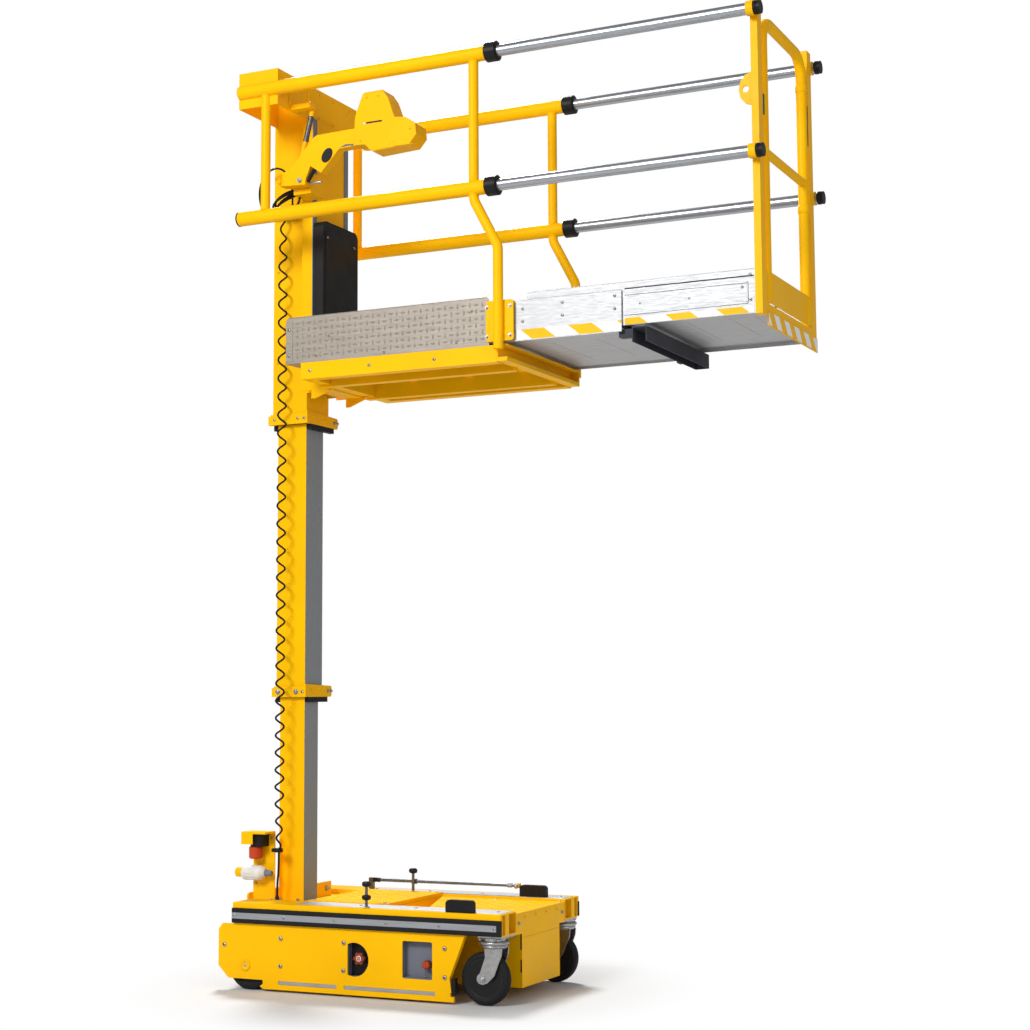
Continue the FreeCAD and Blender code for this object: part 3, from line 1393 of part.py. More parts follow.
# Deck fittings
pad_parts = []
for i, (front, y) in enumerate(((S.pad_near, -side_outer - 2), (S.pad_far, side_inner + 20))):
    pad_x = (base_front - front - S.pad_length, base_front - front)
    corners = [
        (pad_x[0], S.longeron_top),
        (pad_x[1], S.longeron_top),
        (pad_x[1], S.longeron_top + S.pad_height),
        (pad_x[0], S.longeron_top + S.pad_height),
    ]
    pad_parts.append(prism(f"Pad{i}", "xz", corners, y, y + 24, rounds=((2, 3), 16)))
shoe_y = (-side_outer - sheet_s, -side_outer + 15)
shoe = box("Shoe", (skirt_low_x, skirt_low_x + 17), shoe_y, (S.skirt_bottom - 7, notch_z))
node("deck_pads", group("Pads", *pad_parts, shoe))
link_z = S.longeron_top + S.link_z
top = S.longeron_top
near_link = (-2, -side_outer + 26)
far_link = (-109, side_inner + 18)
bridge_x = (far_link[0] - 9, far_link[0] + 9)
link_post_x = (ahead(S.hood_rear), ahead(S.hood_rear + 20))
link_parts = [
    fuse(
        "LinkNear",
        rod("LinkPostNear", "z", (*near_link, top), size(96), size(6)),
        rod("KnobNearLow", "z", (*near_link, top + 30), size(18), size(13)),
        rod("KnobNearTop", "z", (*near_link, top + 82), size(18), size(13)),
    ),
    fuse(
        "LinkFar",
        rod("LinkPostFar", "z", (*far_link, top), size(90), size(6)),
        rod("KnobFarTop", "z", (*far_link, top + 80), size(18), size(13)),
        box("LinkBridge", bridge_x, (far_link[1] + 2, S.link_y + 9), (link_z - 10, link_z + 10)),
        rod("LinkRod", "x", (link_post_x[1], S.link_y, link_z), size(684), size(7)),
        box("LinkPostRear", link_post_x, (S.link_y - 9, S.link_y + 9), (top, link_z + 9)),
    ),
]
node("deck_linkage", group("Linkage", *link_parts))
rod_end = ahead(S.hood_rear) + 704
bracket_corners = [
    (rod_end - 50, top),
    (rod_end - 30, top + 24),
    (rod_end + 20, top + 54),
    (rod_end + 44, top + 50),
    (rod_end + 82, top),
]
link_bracket = prism(
    "LinkBracket", "xz", bracket_corners, S.link_y - 16, S.link_y - 10, holes=[(rod_end + 8, link_z, 8)]
)
rod_tip = rod("RodTip", "y", (rod_end + 8, S.link_y - 22, link_z), size(29), size(7.5))
link_foot = box("LinkFoot", (rod_end, rod_end + 16), (S.link_y - 9, S.link_y + 9), (link_z - 9, link_z + 9))
side_lug = box(
    "SideLug",
    (ahead(S.low_length / 2 - S.lug_thick), ahead(S.low_length / 2)),
    (S.low_width / 2, S.side_lug_reach),
    (foot_top, S.side_lug_top),
)
node("deck_brackets", group("DeckBrackets", side_lug, fuse("LinkEnd", link_bracket, rod_tip, link_foot)))

# Curly cord from the clip at the foot of the mast to the platform, with its straight ends
clip_half = S.coil_dia / 2
arm_reach = box("ClipArm", (plate_x[1], clip_x), (S.coil_y - 4, plate_y[1]), clip_z)
clip_ring = rod("ClipRing", "z", (clip_x, S.coil_y, clip_z[0]), S.clip_height, 17)
boot_x = clip_x - 7
boot = turned(
    "Boot", "z", (boot_x, S.coil_y, foot_top), [(0, 0), (18, 0), (18, 5), (11, 7), (6, 26), (0, 26)]
)
node("cord_clamp_low", group("CordClips", fuse("Clip", arm_reach, clip_ring), boot))
coil_top = mid_rail_z + S.coil_drop
lead_r = S.lead_dia / 2
tail_points = [
    (clip_x, S.coil_y, clip_z[0]),
    (clip_x, S.coil_y, clip_z[0] - 80),
    (boot_x, S.coil_y, foot_top + 80),
    (boot_x, S.coil_y, foot_top + 26),
]
node("cord_tail", bent_tube("Tail", tail_points, lead_r, sides=6))
clamp_x = (clip_x - 14, clip_x + 64)
clamp_top = box("ClampTop", clamp_x, (S.coil_y - 16, -S.up_width / 2), (coil_top, coil_top + 20))
node("cord_clamp_top", clamp_top)
node("curly_cord", rod("Coil", "z", (clip_x, S.coil_y, S.coil_low), coil_top - S.coil_low, clip_half))
loop_start = clamp_x[0]
# reach from the clamp's rear face, bulge to the near side, height over the coil's end
LOOP = (
    (0, 0, 10), (-48, 0, 10), (-80, -4, 38), (-93, -8, 95), (-85, -12, 155), (-45, -12, 205),
    (10, -12, 207), (52, -12, 160), (60, 0, 90), (60, 0, 20),
)
loop_points = [(loop_start + x, S.coil_y + y, coil_top + z) for x, y, z in LOOP]
node("cable_loop", bent_tube("Loop", loop_points, lead_r, sides=6))

doc.recompute()
for obj in doc.Objects:
    if any(word in ("Invalid", "Error") for word in obj.State):
        raise RuntimeError(f"{obj.Label} did not build: {obj.State}")
for obj in nodes:
    if obj.Shape.isNull() or not obj.Shape.isValid():
        raise RuntimeError(f"{obj.Label} has no sound shape")

os.makedirs("parts", exist_ok=True)
for obj in nodes:
    obj.Shape.exportStep(f"parts/{obj.Label}.step")
print(f"{len(nodes)} pieces, origin {origin_x.number:.1f} mm ahead of the base's middle")
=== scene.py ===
import math
from itertools import product

import bmesh
import bpy
from mathutils import Matrix, Vector


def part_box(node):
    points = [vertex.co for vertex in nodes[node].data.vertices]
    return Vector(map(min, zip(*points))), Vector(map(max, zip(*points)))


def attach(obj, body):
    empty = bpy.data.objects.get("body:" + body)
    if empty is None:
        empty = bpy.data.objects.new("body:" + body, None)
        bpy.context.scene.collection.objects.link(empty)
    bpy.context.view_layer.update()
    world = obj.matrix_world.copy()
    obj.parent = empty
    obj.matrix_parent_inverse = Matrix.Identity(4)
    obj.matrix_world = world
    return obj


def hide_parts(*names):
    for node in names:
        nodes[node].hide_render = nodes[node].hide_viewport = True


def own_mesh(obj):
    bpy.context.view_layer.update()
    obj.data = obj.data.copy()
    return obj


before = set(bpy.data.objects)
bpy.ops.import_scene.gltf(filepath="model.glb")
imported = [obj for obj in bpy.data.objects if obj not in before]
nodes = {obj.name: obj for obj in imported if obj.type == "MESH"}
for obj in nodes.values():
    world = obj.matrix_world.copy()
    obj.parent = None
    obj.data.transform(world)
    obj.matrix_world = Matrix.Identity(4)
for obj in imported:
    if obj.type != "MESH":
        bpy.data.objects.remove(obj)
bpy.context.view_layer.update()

# The driving places of the part's source, in metres
ORIGIN = 0.491        # the frame's origin ahead of the middle of the base
MAST = -0.5285        # the mast's axis, from the middle of the base
DECK = 2.559          # floor of the fixed deck
TOP_RAIL = DECK + 1.1815
MID_RAIL = TOP_RAIL - 0.548
RAIL_Y = 0.383        # the rails' axes from the middle plane
SIDE_TOP = 0.349      # top of the side members
BUMPER = 0.380        # outer face of the bumpers


def bx(x):
    """Place along X measured from the middle of the base."""
    return x - ORIGIN


def mx(x):
    """Place along X measured from the mast's axis."""
    return x + MAST - ORIGIN


def bspan(rear, front):
    """Two places along X measured from the middle of the base."""
    return bx(rear), bx(front)


def mspan(rear, front):
    """Two places along X measured from the mast's axis."""
    return mx(rear), mx(front)


def about(middle, half):
    """Two places at the same distance on both sides of a third."""
    return middle - half, middle + half


def span(side, first, last):
    """Two places across the lift on one side of its middle plane, the lower one first."""
    return sorted((side * first, side * last))


def facing(sign, profile, size=1):
    """Profile of (radius, height) turned up or down its axis, in multiples of a size."""
    return [(size * radius, sign * size * height) for radius, height in profile]


def placed(name, data):
    """New object in the scene."""
    made = bpy.data.objects.new(name, data)
    bpy.context.collection.objects.link(made)
    return made


# Camera at the photograph's place
camera = placed("camera", bpy.data.cameras.new("camera"))
heading = Matrix.Rotation(math.radians(25.225), 4, "Z")
pitch = Matrix.Rotation(math.radians(90 + 6.022), 4, "X")
roll = Matrix.Rotation(math.radians(-0.37), 4, "Z")
camera.matrix_world = Matrix.Translation((bx(3.7841), -6.899, 1.192)) @ heading @ pitch @ roll
camera.data.lens = 65.42
camera.data.sensor_width = 36
camera.data.shift_x = -0.0067
camera.data.shift_y = -0.0192
camera.data.clip_end = 60
bpy.context.scene.camera = camera


# Materials
def srgb(*parts):
    """Colour written in 0 to 255 as it should look, turned into linear light."""
    shares = [part / 255 for part in parts]
    return tuple(c / 12.92 if c < 0.04045 else ((c + 0.055) / 1.055) ** 2.4 for c in shares) + (1,)


def toned(colour, factor, more=0.0):
    """The colour with each part multiplied and raised."""
    return tuple(part * factor + more for part in colour[:3]) + (1,)


def add_node(tree, kind, inputs=None, **settings):
    """New node; each input is a number, a vector, a colour or the output of another node."""
    made = tree.nodes.new("ShaderNode" + kind)
    for key, value in settings.items():
        setattr(made, key, value)
    for key, value in (inputs or {}).items():
        if isinstance(value, bpy.types.NodeSocket):
            tree.links.new(value, made.inputs[key])
        else:
            made.inputs[key].default_value = value
    return made


class Finish:
    """A node-based material: colour variation, roughness variation, fine bump and edge wear."""

    def __init__(self, name, colour, rough, metallic=0.0, specular=0.5):
        self.material = bpy.data.materials.new(name)
        self.material.use_nodes = True
        self.tree = self.material.node_tree
        self.shader = self.tree.nodes["Principled BSDF"]
        self.shader.inputs["Metallic"].default_value = metallic
        self.shader.inputs["Specular IOR Level"].default_value = specular
        self.colour = colour
        self.rough = rough
        self.where = self.add("TexCoord").outputs["Object"]
        self.tint = None
        self.normal = None

    def add(self, kind, inputs=None, **settings):
        return add_node(self.tree, kind, inputs, **settings)

    def link(self, output, socket):
        self.tree.links.new(output, socket)

    def noise(self, scale, detail=3.0, stretch=None):
        place = self.where
        if stretch:
            place = self.add("Mapping", {"Vector": place, "Scale": stretch}).outputs["Vector"]
        values = {"Vector": place, "Scale": scale, "Detail": detail, "Roughness": 0.55}
        return self.add("TexNoise", values).outputs["Fac"]

    def ramp(self, source, low, high, first=0.3, last=0.7, kind="LINEAR"):
        values = {"Value": source, "From Min": first, "From Max": last, "To Min": low, "To Max": high}
        return self.add("MapRange", values, interpolation_type=kind).outputs["Result"]

    def mix(self, share, first, second):
        return self.add("Mix", {0: share, 6: first, 7: second}, data_type="RGBA").outputs[2]

    def math(self, operation, *values):
        return self.add("Math", dict(enumerate(values)), operation=operation).outputs[0]

    def split(self, source):
        return self.add("SeparateXYZ", {0: source}).outputs

    def vary(self, scale, amount, stretch=None):
        """Slow change of tone over the surface."""
        share = self.ramp(self.noise(scale, stretch=stretch), 0, 1)
        self.tint = self.mix(share, toned(self.colour, 1 - amount), toned(self.colour, 1 + amount * 0.6))
        return self

    def roughen(self, scale, spread, stretch=None):
        low, high = max(0.03, self.rough - spread), min(1, self.rough + spread)
        patches = self.ramp(self.noise(scale, stretch=stretch), low, high)
        self.link(patches, self.shader.inputs["Roughness"])
        return self

    def bump(self, scale, depth, stretch=None):
        values = {"Strength": 1.0, "Distance": depth, "Height": self.noise(scale, 2.0, stretch)}
        if self.normal:
            values["Normal"] = self.normal
        self.normal = self.add("Bump", values).outputs["Normal"]
        return self

    def edges(self, radius, worn, share):
        """Rounded look of every edge, with the finish rubbed along it."""
        self.normal = self.add("Bevel", {"Radius": radius}, samples=4).outputs["Normal"]
        flat = self.add("NewGeometry").outputs["Normal"]
        dot = self.add("VectorMath", {0: self.normal, 1: flat}, operation="DOT_PRODUCT")
        rubbed = self.ramp(dot.outputs["Value"], share, 0, 0.90, 0.99)
        patchy = self.math("MULTIPLY", rubbed, self.ramp(self.noise(35), 0, 1, 0.35, 0.65))
        self.tint = self.mix(patchy, self.tint, worn)
        return self

    def facing_front(self, place):
        """1 on a face that looks along +X at that place, 0 elsewhere."""
        ahead = self.split(self.add("NewGeometry").outputs["True Normal"])[0]
        near = self.math("COMPARE", self.split(self.where)[0], place, 0.002)
        return self.math("MULTIPLY", near, self.ramp(ahead, 0, 1, 0.85, 0.95))

    def done(self):
        base, rough = self.shader.inputs["Base Color"], self.shader.inputs["Roughness"]
        if self.tint:
            self.link(self.tint, base)
        else:
            base.default_value = self.colour
        if not rough.is_linked:
            rough.default_value = self.rough
        if self.normal:
            self.link(self.normal, self.shader.inputs["Normal"])
        return self.material


YELLOW = (0.95, 0.50, 0.001, 1)
GREY = srgb(134, 140, 146)


def painted(name, colour, rough=0.38, bare=None):
    """Sprayed paint. bare is the place along X of a face that is left grey and unpainted."""
    finish = Finish(name, colour, rough, specular=0.07)
    finish.vary(2.5, 0.07).edges(0.0012, toned(colour, 1.04, 0.004), 0.5)
    if bare is not None:
        finish.tint = finish.mix(finish.facing_front(bare), finish.tint, GREY)
    return finish.roughen(9, 0.07).bump(420, 0.00012).done()


def metal(name, colour, rough, stretch, metallic=1.0):
    """Bare metal, brushed along the axis that is stretched least."""
    finish = Finish(name, colour, rough, metallic)
    finish.vary(6, 0.16, stretch).edges(0.001, toned(colour, 1.2), 0.5)
    return finish.roughen(14, 0.09, stretch).bump(160, 0.00008, stretch).done()


def plastic(name, colour, rough, depth=0.0002, scale=600):
    """Moulded plastic or rubber with a fine grain."""
    finish = Finish(name, colour, rough, specular=0.18)
    finish.vary(5, 0.2).edges(0.0012, toned(colour, 1.4, 0.004), 0.35)
    return finish.roughen(12, 0.08).bump(scale, depth).done()


def striped(name, along, across, pitch, slant):
    """Warning tape: slanting yellow and white bars along one axis."""
    finish = Finish(name, YELLOW, 0.4, specular=0.1)
    place = finish.split(finish.where)
    lean = finish.math("MULTIPLY_ADD", place[across], slant, place[along])
    turn = finish.math("FRACT", finish.math("DIVIDE", lean, pitch))
    finish.vary(4, 0.08)
    finish.tint = finish.mix(finish.ramp(turn, 0, 1, 0.495, 0.505), finish.tint, srgb(238, 238, 238))
    return finish.roughen(10, 0.06).bump(500, 0.0001).done()


M = {
    "yellow": painted("yellow_paint", YELLOW),
    "lower": painted("mast_paint_lower", YELLOW, bare=mx(0.061)),
    "middle": painted("mast_paint_middle", YELLOW, bare=mx(0.071)),
    "grey": painted("grey_paint", srgb(120, 128, 138), 0.45),
    "dark": painted("dark_paint", srgb(60, 62, 70), 0.45),
    "strip": metal("bare_strip", srgb(188, 192, 198), 0.42, (2, 40, 40)),
    "board": metal("aluminium_board", srgb(152, 143, 132), 0.5, (2, 30, 30), metallic=0.45),
    "stage": metal("aluminium_stage", srgb(180, 181, 183), 0.5, (2, 30, 30), metallic=0.45),
    "tube": metal("aluminium_tube", srgb(174, 177, 182), 0.33, (1, 60, 60)),
    "zinc": metal("zinc", srgb(174, 174, 174), 0.36, (12, 12, 12)),
    "rod": metal("bright_rod", srgb(118, 120, 124), 0.3, (2, 40, 40)),
    "steel": metal("dark_steel", srgb(90, 92, 96), 0.45, (10, 10, 10)),
    "rubber": plastic("black_rubber", (0.011, 0.011, 0.012, 1), 0.6),
    "black": plastic("black_plastic", (0.010, 0.010, 0.011, 1), 0.42),
    "tyre": plastic("tyre_rubber", (0.011, 0.011, 0.012, 1), 0.55),
    "hub": plastic("hub_plastic", (0.019, 0.019, 0.021, 1), 0.4),
    "amber": plastic("amber_lens", srgb(196, 70, 30), 0.22, 0.00005, 90),
    "rust_red": plastic("knob_plastic", srgb(150, 60, 30), 0.4),
    "white": plastic("white_plastic", srgb(226, 226, 220), 0.35),
    "pan": painted("panel_paint", srgb(112, 116, 128), 0.5),
    "tape_side": striped("tape_side", 0, 2, 0.204, 1.25),
    "tape_end": striped("tape_end", 1, 2, 0.128, 0.9),
}

NODE_FINISH = {
    "yellow": "chassis_frame machine_housing side_plates battery_box base_deck deck_cover fitting_plate "
              "mast_upper carriage mast_head guard_rails underframe arm_bracket control_arm "
              "control_console gate_frame gate deck_brackets",
    "lower": "mast_lower",
    "middle": "mast_middle",
    "grey": "slide_strips",
    "board": "fixed_deck",
    "stage": "middle_deck end_deck",
    "tube": "sliding_rails bumper_bars",
    "zinc": "caster_plates caster_fork_near caster_fork_far",
    "rod": "deck_linkage",
    "steel": "drive_units",
    "dark": "middle_slides",
    "rubber": "side_bumpers cord_tail cable_loop",
    "black": "battery_block slide_ring_middle slide_ring_upper rail_sleeves deck_slides mast_cover "
             "rail_caps sounder deck_pads cord_clamp_low cord_clamp_top",
    "tyre": "drive_wheel_near drive_wheel_far caster_wheel_near caster_wheel_far",
    "amber": "beacon",
    "white": "power_inlet",
    "pan": "service_panel",
}
for finish_name, names in NODE_FINISH.items():
    for node_name in names.split():
        mesh = nodes[node_name].data
        mesh.materials.clear()
        mesh.materials.append(M[finish_name])


# Curly cord, its straight end and the loop over the platform's arm
def nurbs(name, points, bevel):
    """Curve near the points; a bevel above 0 makes it a round bar of that radius."""
    curve = bpy.data.curves.new(name, "CURVE")
    curve.dimensions = "3D"
    spline = curve.splines.new("NURBS")
    spline.points.add(len(points) - 1)
    for point, place in zip(spline.points, points):
        point.co = (*place, 1)
    spline.order_u = 3
    spline.use_endpoint_u = True
    curve.resolution_u = 4
    curve.bevel_depth = bevel
    curve.bevel_resolution = 3
    curve.use_fill_caps = bevel > 0
    return placed(name, curve)


def curve_mesh(made):
    bpy.context.view_layer.update()
    graph = bpy.context.evaluated_depsgraph_get()
    return bpy.data.meshes.new_from_object(made.evaluated_get(graph))


def cord_mesh(name, points, diameter, body, node):
    """Mesh tube along a NURBS route, put on a body in place of one of the object's parts."""
    line = nurbs(name + "_line", points, 0)
    path = [v.co.copy() for v in curve_mesh(line).vertices]
    line.data.bevel_depth = diameter / 2
    mesh = curve_mesh(line)
    bpy.data.objects.remove(line)
    piece = placed(name, mesh)
    mesh.materials.append(M["rubber"])
    for polygon in mesh.polygons:
        polygon.use_smooth = True
    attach(piece, body)
    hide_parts(node)
    return piece


low_end, high_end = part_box("curly_cord")
coil_x, coil_y = (low_end.x + high_end.x) / 2, (low_end.y + high_end.y) / 2
WIRE = 0.0085         # diameter of the coiled cord
LEAD = 0.009          # diameter of the straight end and the loop
COIL_STEPS = 12       # points of the helix in one turn
COIL_PITCH = 0.070    # of the lowest turn
COIL_STRETCH = 0.014  # by which the pitch grows up to the top
COIL_NARROWING = 12   # each end narrows over one part in so many of the height
coil_radius = (high_end.x - low_end.x) / 2 - WIRE / 2 - 0.0005


def helix_points():
    """Route of the coil, from the low clamp to the high one."""
    z, angle = low_end.z + 0.002, 0.0
    points = [Vector((coil_x, coil_y, z - 0.001))]
    top = high_end.z - 0.002
    height = top - z
    while z < top:
        share = (z - low_end.z) / height
        grow = min(1, COIL_NARROWING * share, COIL_NARROWING * (1 - share))
        radius = coil_radius * (0.3 + 0.7 * max(0, grow) ** 0.5)
        points.append(Vector((coil_x + radius * math.cos(angle), coil_y + radius * math.sin(angle), z)))
        z += (COIL_PITCH + COIL_STRETCH * share) / COIL_STEPS
        angle += math.tau / COIL_STEPS
    points.append(Vector((coil_x, coil_y, top + 0.001)))
    return points


coil = cord_mesh("curly_cord_helix", helix_points(), WIRE, "chassis", "curly_cord")
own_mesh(coil)

CLIP_LOW = 0.533      # under side of the low clamp
FOOT = 0.328          # top of the mast's foot plate
tail_route = [
    (coil_x, coil_y, CLIP_LOW),
    (coil_x, coil_y, CLIP_LOW - 0.080),
    (coil_x - 0.007, coil_y, FOOT + 0.080),
    (coil_x - 0.007, coil_y, FOOT + 0.026),
]
cord_mesh("cord_tail_lead", tail_route, LEAD, "chassis", "cord_tail")

# reach from the clamp's rear face, bulge to the near side, height over the coil's end
LOOP = (
    (0, 0, 10), (-50, 0, 9), (-88, -6, 34), (-104, -11, 95), (-96, -15, 160), (-50, -16, 215),
    (12, -16, 217), (58, -14, 164), (62, 0, 90), (60, 0, 20),
)
loop_start = coil_x - 0.014
loop_route = [(loop_start + x / 1000, coil_y + y / 1000, high_end.z + z / 1000) for x, y, z in LOOP]
cord_mesh("cable_loop_lead", loop_route, LEAD, "platform", "cable_loop")


# Pieces of detail, each put together from simple solids
AXES = {"x": (0, 1, 2), "y": (1, 2, 0), "z": (2, 0, 1)}

# Profiles of small hardware in multiples of its radius: (radius, height)
DOME = ((1, 0), (1, 0.3), (0.8, 0.55), (0.45, 0.62))
SOCKET = ((0.42, 0.60), (0.40, 0.64))
WASHER = ((1.35, 0), (1.35, 0.2))
FLATS = ((1, 0.2), (1, 1), (0.85, 1.1))
BOLT_END = ((0.5, 0), (0.5, 1.5))


class Piece:
    """Detail on one body; its solids are added one after another, each with its material."""

    def __init__(self, name, body, slot):
        self.name, self.body, self.slot = name, body, slot
        self.points, self.faces, self.paints, self.rounds, self.materials = [], [], [], [], []

    def add(self, points, faces, material, smooth=False):
        if material not in self.materials:
            self.materials.append(material)
        start = len(self.points)
        self.points += [tuple(point) for point in points]
        self.faces += [tuple(start + i for i in face) for face in faces]
        self.paints += [self.materials.index(material)] * len(faces)
        self.rounds += [smooth] * len(faces)

    def block(self, x, y, z, material, edge=0.001):
        """Box with chamfered edges; a corner has one point for each of its three sides."""
        bounds, points, faces = (x, y, z), [], []
        for corner in range(8):
            for axis in range(3):
                place = []
                for k in range(3):
                    sign = corner >> k & 1
                    inward = 0 if k == axis else (edge, -edge)[sign]
                    place.append(bounds[k][sign] + inward)
                points.append(place)
        for axis in range(3):
            b, c = (axis + 1) % 3, (axis + 2) % 3
            square = (0, 1 << b, (1 << b) + (1 << c), 1 << c)
            for sign in (0, 1):
                ring = [3 * (corner + (sign << axis)) + axis for corner in square]
                faces.append(ring if sign else ring[::-1])
            for corner in square:
                first, last = 3 * corner, 3 * (corner + (1 << axis))
                faces.append((first + b, first + c, last + c, last + b))
        faces += [(3 * corner, 3 * corner + 1, 3 * corner + 2) for corner in range(8)]
        self.add(points, faces, M[material])

    def turned(self, axis, centre, profile, material, sides=24, smooth=True):
        """Solid of revolution; the profile's points are (radius, place along the axis)."""
        a, b, c = AXES[axis]
        points, faces = [], []
        for radius, along in profile:
            for i in range(sides):
                place = list(centre)
                place[a] += along
                place[b] += radius * math.cos(math.tau * i / sides)
                place[c] += radius * math.sin(math.tau * i / sides)
                points.append(place)
        for ring in range(len(profile) - 1):
            for i in range(sides):
                j = (i + 1) % sides
                low, high = ring * sides, (ring + 1) * sides
                faces.append((low + i, low + j, high + j, high + i))
        self.add(points, faces, M[material], smooth)
        # flat ends, counted back from the last point
        ends = (range(-len(points), sides - len(points)), range(-sides, 0))
        self.add((), ends, M[material])

    def plate(self, plane, outline, low, high, material):
        """Flat plate; its outline lies in the plane and its thickness across it."""
        a, b = "xyz".index(plane[0]), "xyz".index(plane[1])
        c = 3 - a - b
        points = []
        for height in (low, high):
            for u, v in outline:
                place = [0, 0, 0]
                place[a], place[b], place[c] = u, v, height
                points.append(place)
        n = len(outline)
        faces = [tuple(range(n)), tuple(range(n, 2 * n))]
        faces += [(i, (i + 1) % n, n + (i + 1) % n, n + i) for i in range(n)]
        self.add(points, faces, M[material])

    def swept(self, points, radius, material):
        """Round bar along a smooth route."""
        line = nurbs(self.name + "_bar", points, radius)
        mesh = curve_mesh(line)
        bpy.data.objects.remove(line)
        faces = [tuple(polygon.vertices) for polygon in mesh.polygons]
        self.add([v.co for v in mesh.vertices], faces, M[material], True)

    def screws(self, axis, sign, places, radius, material="zinc"):
        """Domed heads with a hexagon socket, facing along the axis."""
        for place in places:
            self.turned(axis, place, facing(sign, DOME, radius), material, 16)
            self.turned(axis, place, facing(sign, SOCKET, radius), "black", 6, False)

    def nuts(self, axis, sign, places, radius, material="zinc"):
        """Hexagon nut on a washer with the bolt's end."""
        for place in places:
            self.turned(axis, place, facing(sign, WASHER, radius), material, 20)
            self.turned(axis, place, facing(sign, FLATS, radius), material, 6, False)
            self.turned(axis, place, facing(sign, BOLT_END, radius), material, 12)

    def done(self, *replaced):
        mesh = bpy.data.meshes.new(self.name)
        mesh.from_pydata(self.points, [], self.faces)
        for material in self.materials:
            mesh.materials.append(material)
        mesh.polygons.foreach_set("material_index", self.paints)
        mesh.polygons.foreach_set("use_smooth", self.rounds)
        shape = bmesh.new()
        shape.from_mesh(mesh)
        bmesh.ops.recalc_face_normals(shape, faces=shape.faces)
        shape.to_mesh(mesh)
        shape.free()
        made = placed(self.name, mesh)
        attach(made, self.body)
        if replaced:
            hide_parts(*replaced)


def lozenges(piece, x, y, z, pitch, size, material, plane="xy", skip=None, rise=0.0034):
    """Raised tread pattern: small roofs laid alternately along and across."""
    count_u = int((x[1] - x[0]) / pitch)
    count_v = int((y[1] - y[0]) / pitch)
    for i in range(count_u):
        for j in range(count_v):
            u = x[0] + (i + 0.5) * (x[1] - x[0]) / count_u
            v = y[0] + (j + 0.5) * (y[1] - y[0]) / count_v
            if skip and skip(u, v):
                continue
            long, short = size / 2, size / 5
            if (i + j) % 2:
                base = [(u + long, v), (u, v + short), (u - long, v), (u, v - short)]
            else:
                base = [(u, v + long), (u + short, v), (u, v - long), (u - short, v)]
            if plane == "xy":
                points = [(p, q, z) for p, q in base] + [(u, v, z + rise)]
            else:
                points = [(p, z, q) for p, q in base] + [(u, z - rise, v)]
            faces = [(0, 1, 4), (1, 2, 4), (2, 3, 4), (3, 0, 4), (3, 2, 1, 0)]
            piece.add(points, faces, M[material])


# Base: tread plates, bare strips, screws and the battery box's folds
BASE_FRONT = 0.6075
HOOD = (mx(0.198), bx(0.040))
HOOD_TOP = 0.355
COVER_TOP = 0.339
SHEET_SCREWS_Y = (-0.222, 0.222)
WELL_REAR, WELL_TIP, WELL_HALF = 0.044, 0.210, 0.228


def in_well(u, v):
    """Over the triangular well, or under the raised cover."""
    past = (u - bx(WELL_REAR)) / (WELL_TIP - WELL_REAR) + (v + WELL_HALF) / (2 * WELL_HALF)
    return u < bx(0.052) or past < 1.08


tread = Piece("tread_plates", "chassis", "yellow")
lozenges(tread, HOOD, (-0.235, 0.235), HOOD_TOP, 0.029, 0.026, "yellow")
lozenges(tread, bspan(0.05, 0.60), (-0.226, 0.226), COVER_TOP, 0.029, 0.026, "yellow", skip=in_well)
tread.screws("z", 1, product((HOOD[0] + 0.02, HOOD[1] - 0.02), SHEET_SCREWS_Y, [HOOD_TOP]), 0.007)
tread.block(bspan(0.15, 0.19), (-0.252, -0.236), (0.3485, 0.351), "yellow", 0.0008)
tread.done()

PLATE_FACE = 0.365    # outer face of the side plates
PLATE_SCREWS = (
    (-0.651, 0.177), (-0.380, 0.213), (-0.381, 0.104), (-0.087, 0.211), (-0.088, 0.103),
    (0.364, 0.211), (0.364, 0.102),
)
PORT = ((0.0225, 0), (0.0225, 0.003), (0.017, 0.005), (0.015, 0.0015), (0.008, 0.0015))
trim = Piece("side_trim", "chassis", "aluminium")
for side in (-1, 1):
    trim.block(bspan(-0.330, BASE_FRONT - 0.012), span(side, 0.240, 0.346),
               (SIDE_TOP - 0.0005, SIDE_TOP + 0.0016), "strip", 0.0007)
    bar_face = side * (BUMPER - 0.001)
    bar_screws = [(bx(x), bar_face, 0.297) for x in (-0.594, -0.359, -0.123, 0.113, 0.347, 0.583)]
    trim.screws("y", side, bar_screws, 0.0062)
    for rear, front in ((-0.3915, -0.1205), (-0.0855, 0.3205)):
        trim.block(bspan(rear, front), span(side, 0.3580, 0.3635), (0.0302, 0.0448), "strip", 0.0006)
    trim.screws("y", side, [(bx(x), side * PLATE_FACE, z) for x, z in PLATE_SCREWS], 0.009)
    strip_screws = [(bx(x), side * 0.293, SIDE_TOP + 0.0016) for x in (-0.31, -0.05, 0.20, 0.56)]
    trim.screws("z", 1, strip_screws, 0.006)
    port = (bx(-0.548), side * PLATE_FACE, 0.099)
    trim.turned("y", port, facing(side, PORT), "yellow", 28)
    trim.turned("y", port, facing(side, [(0.0075, 0.001), (0.0065, 0.0025)]), "zinc", 6, False)
trim.done()

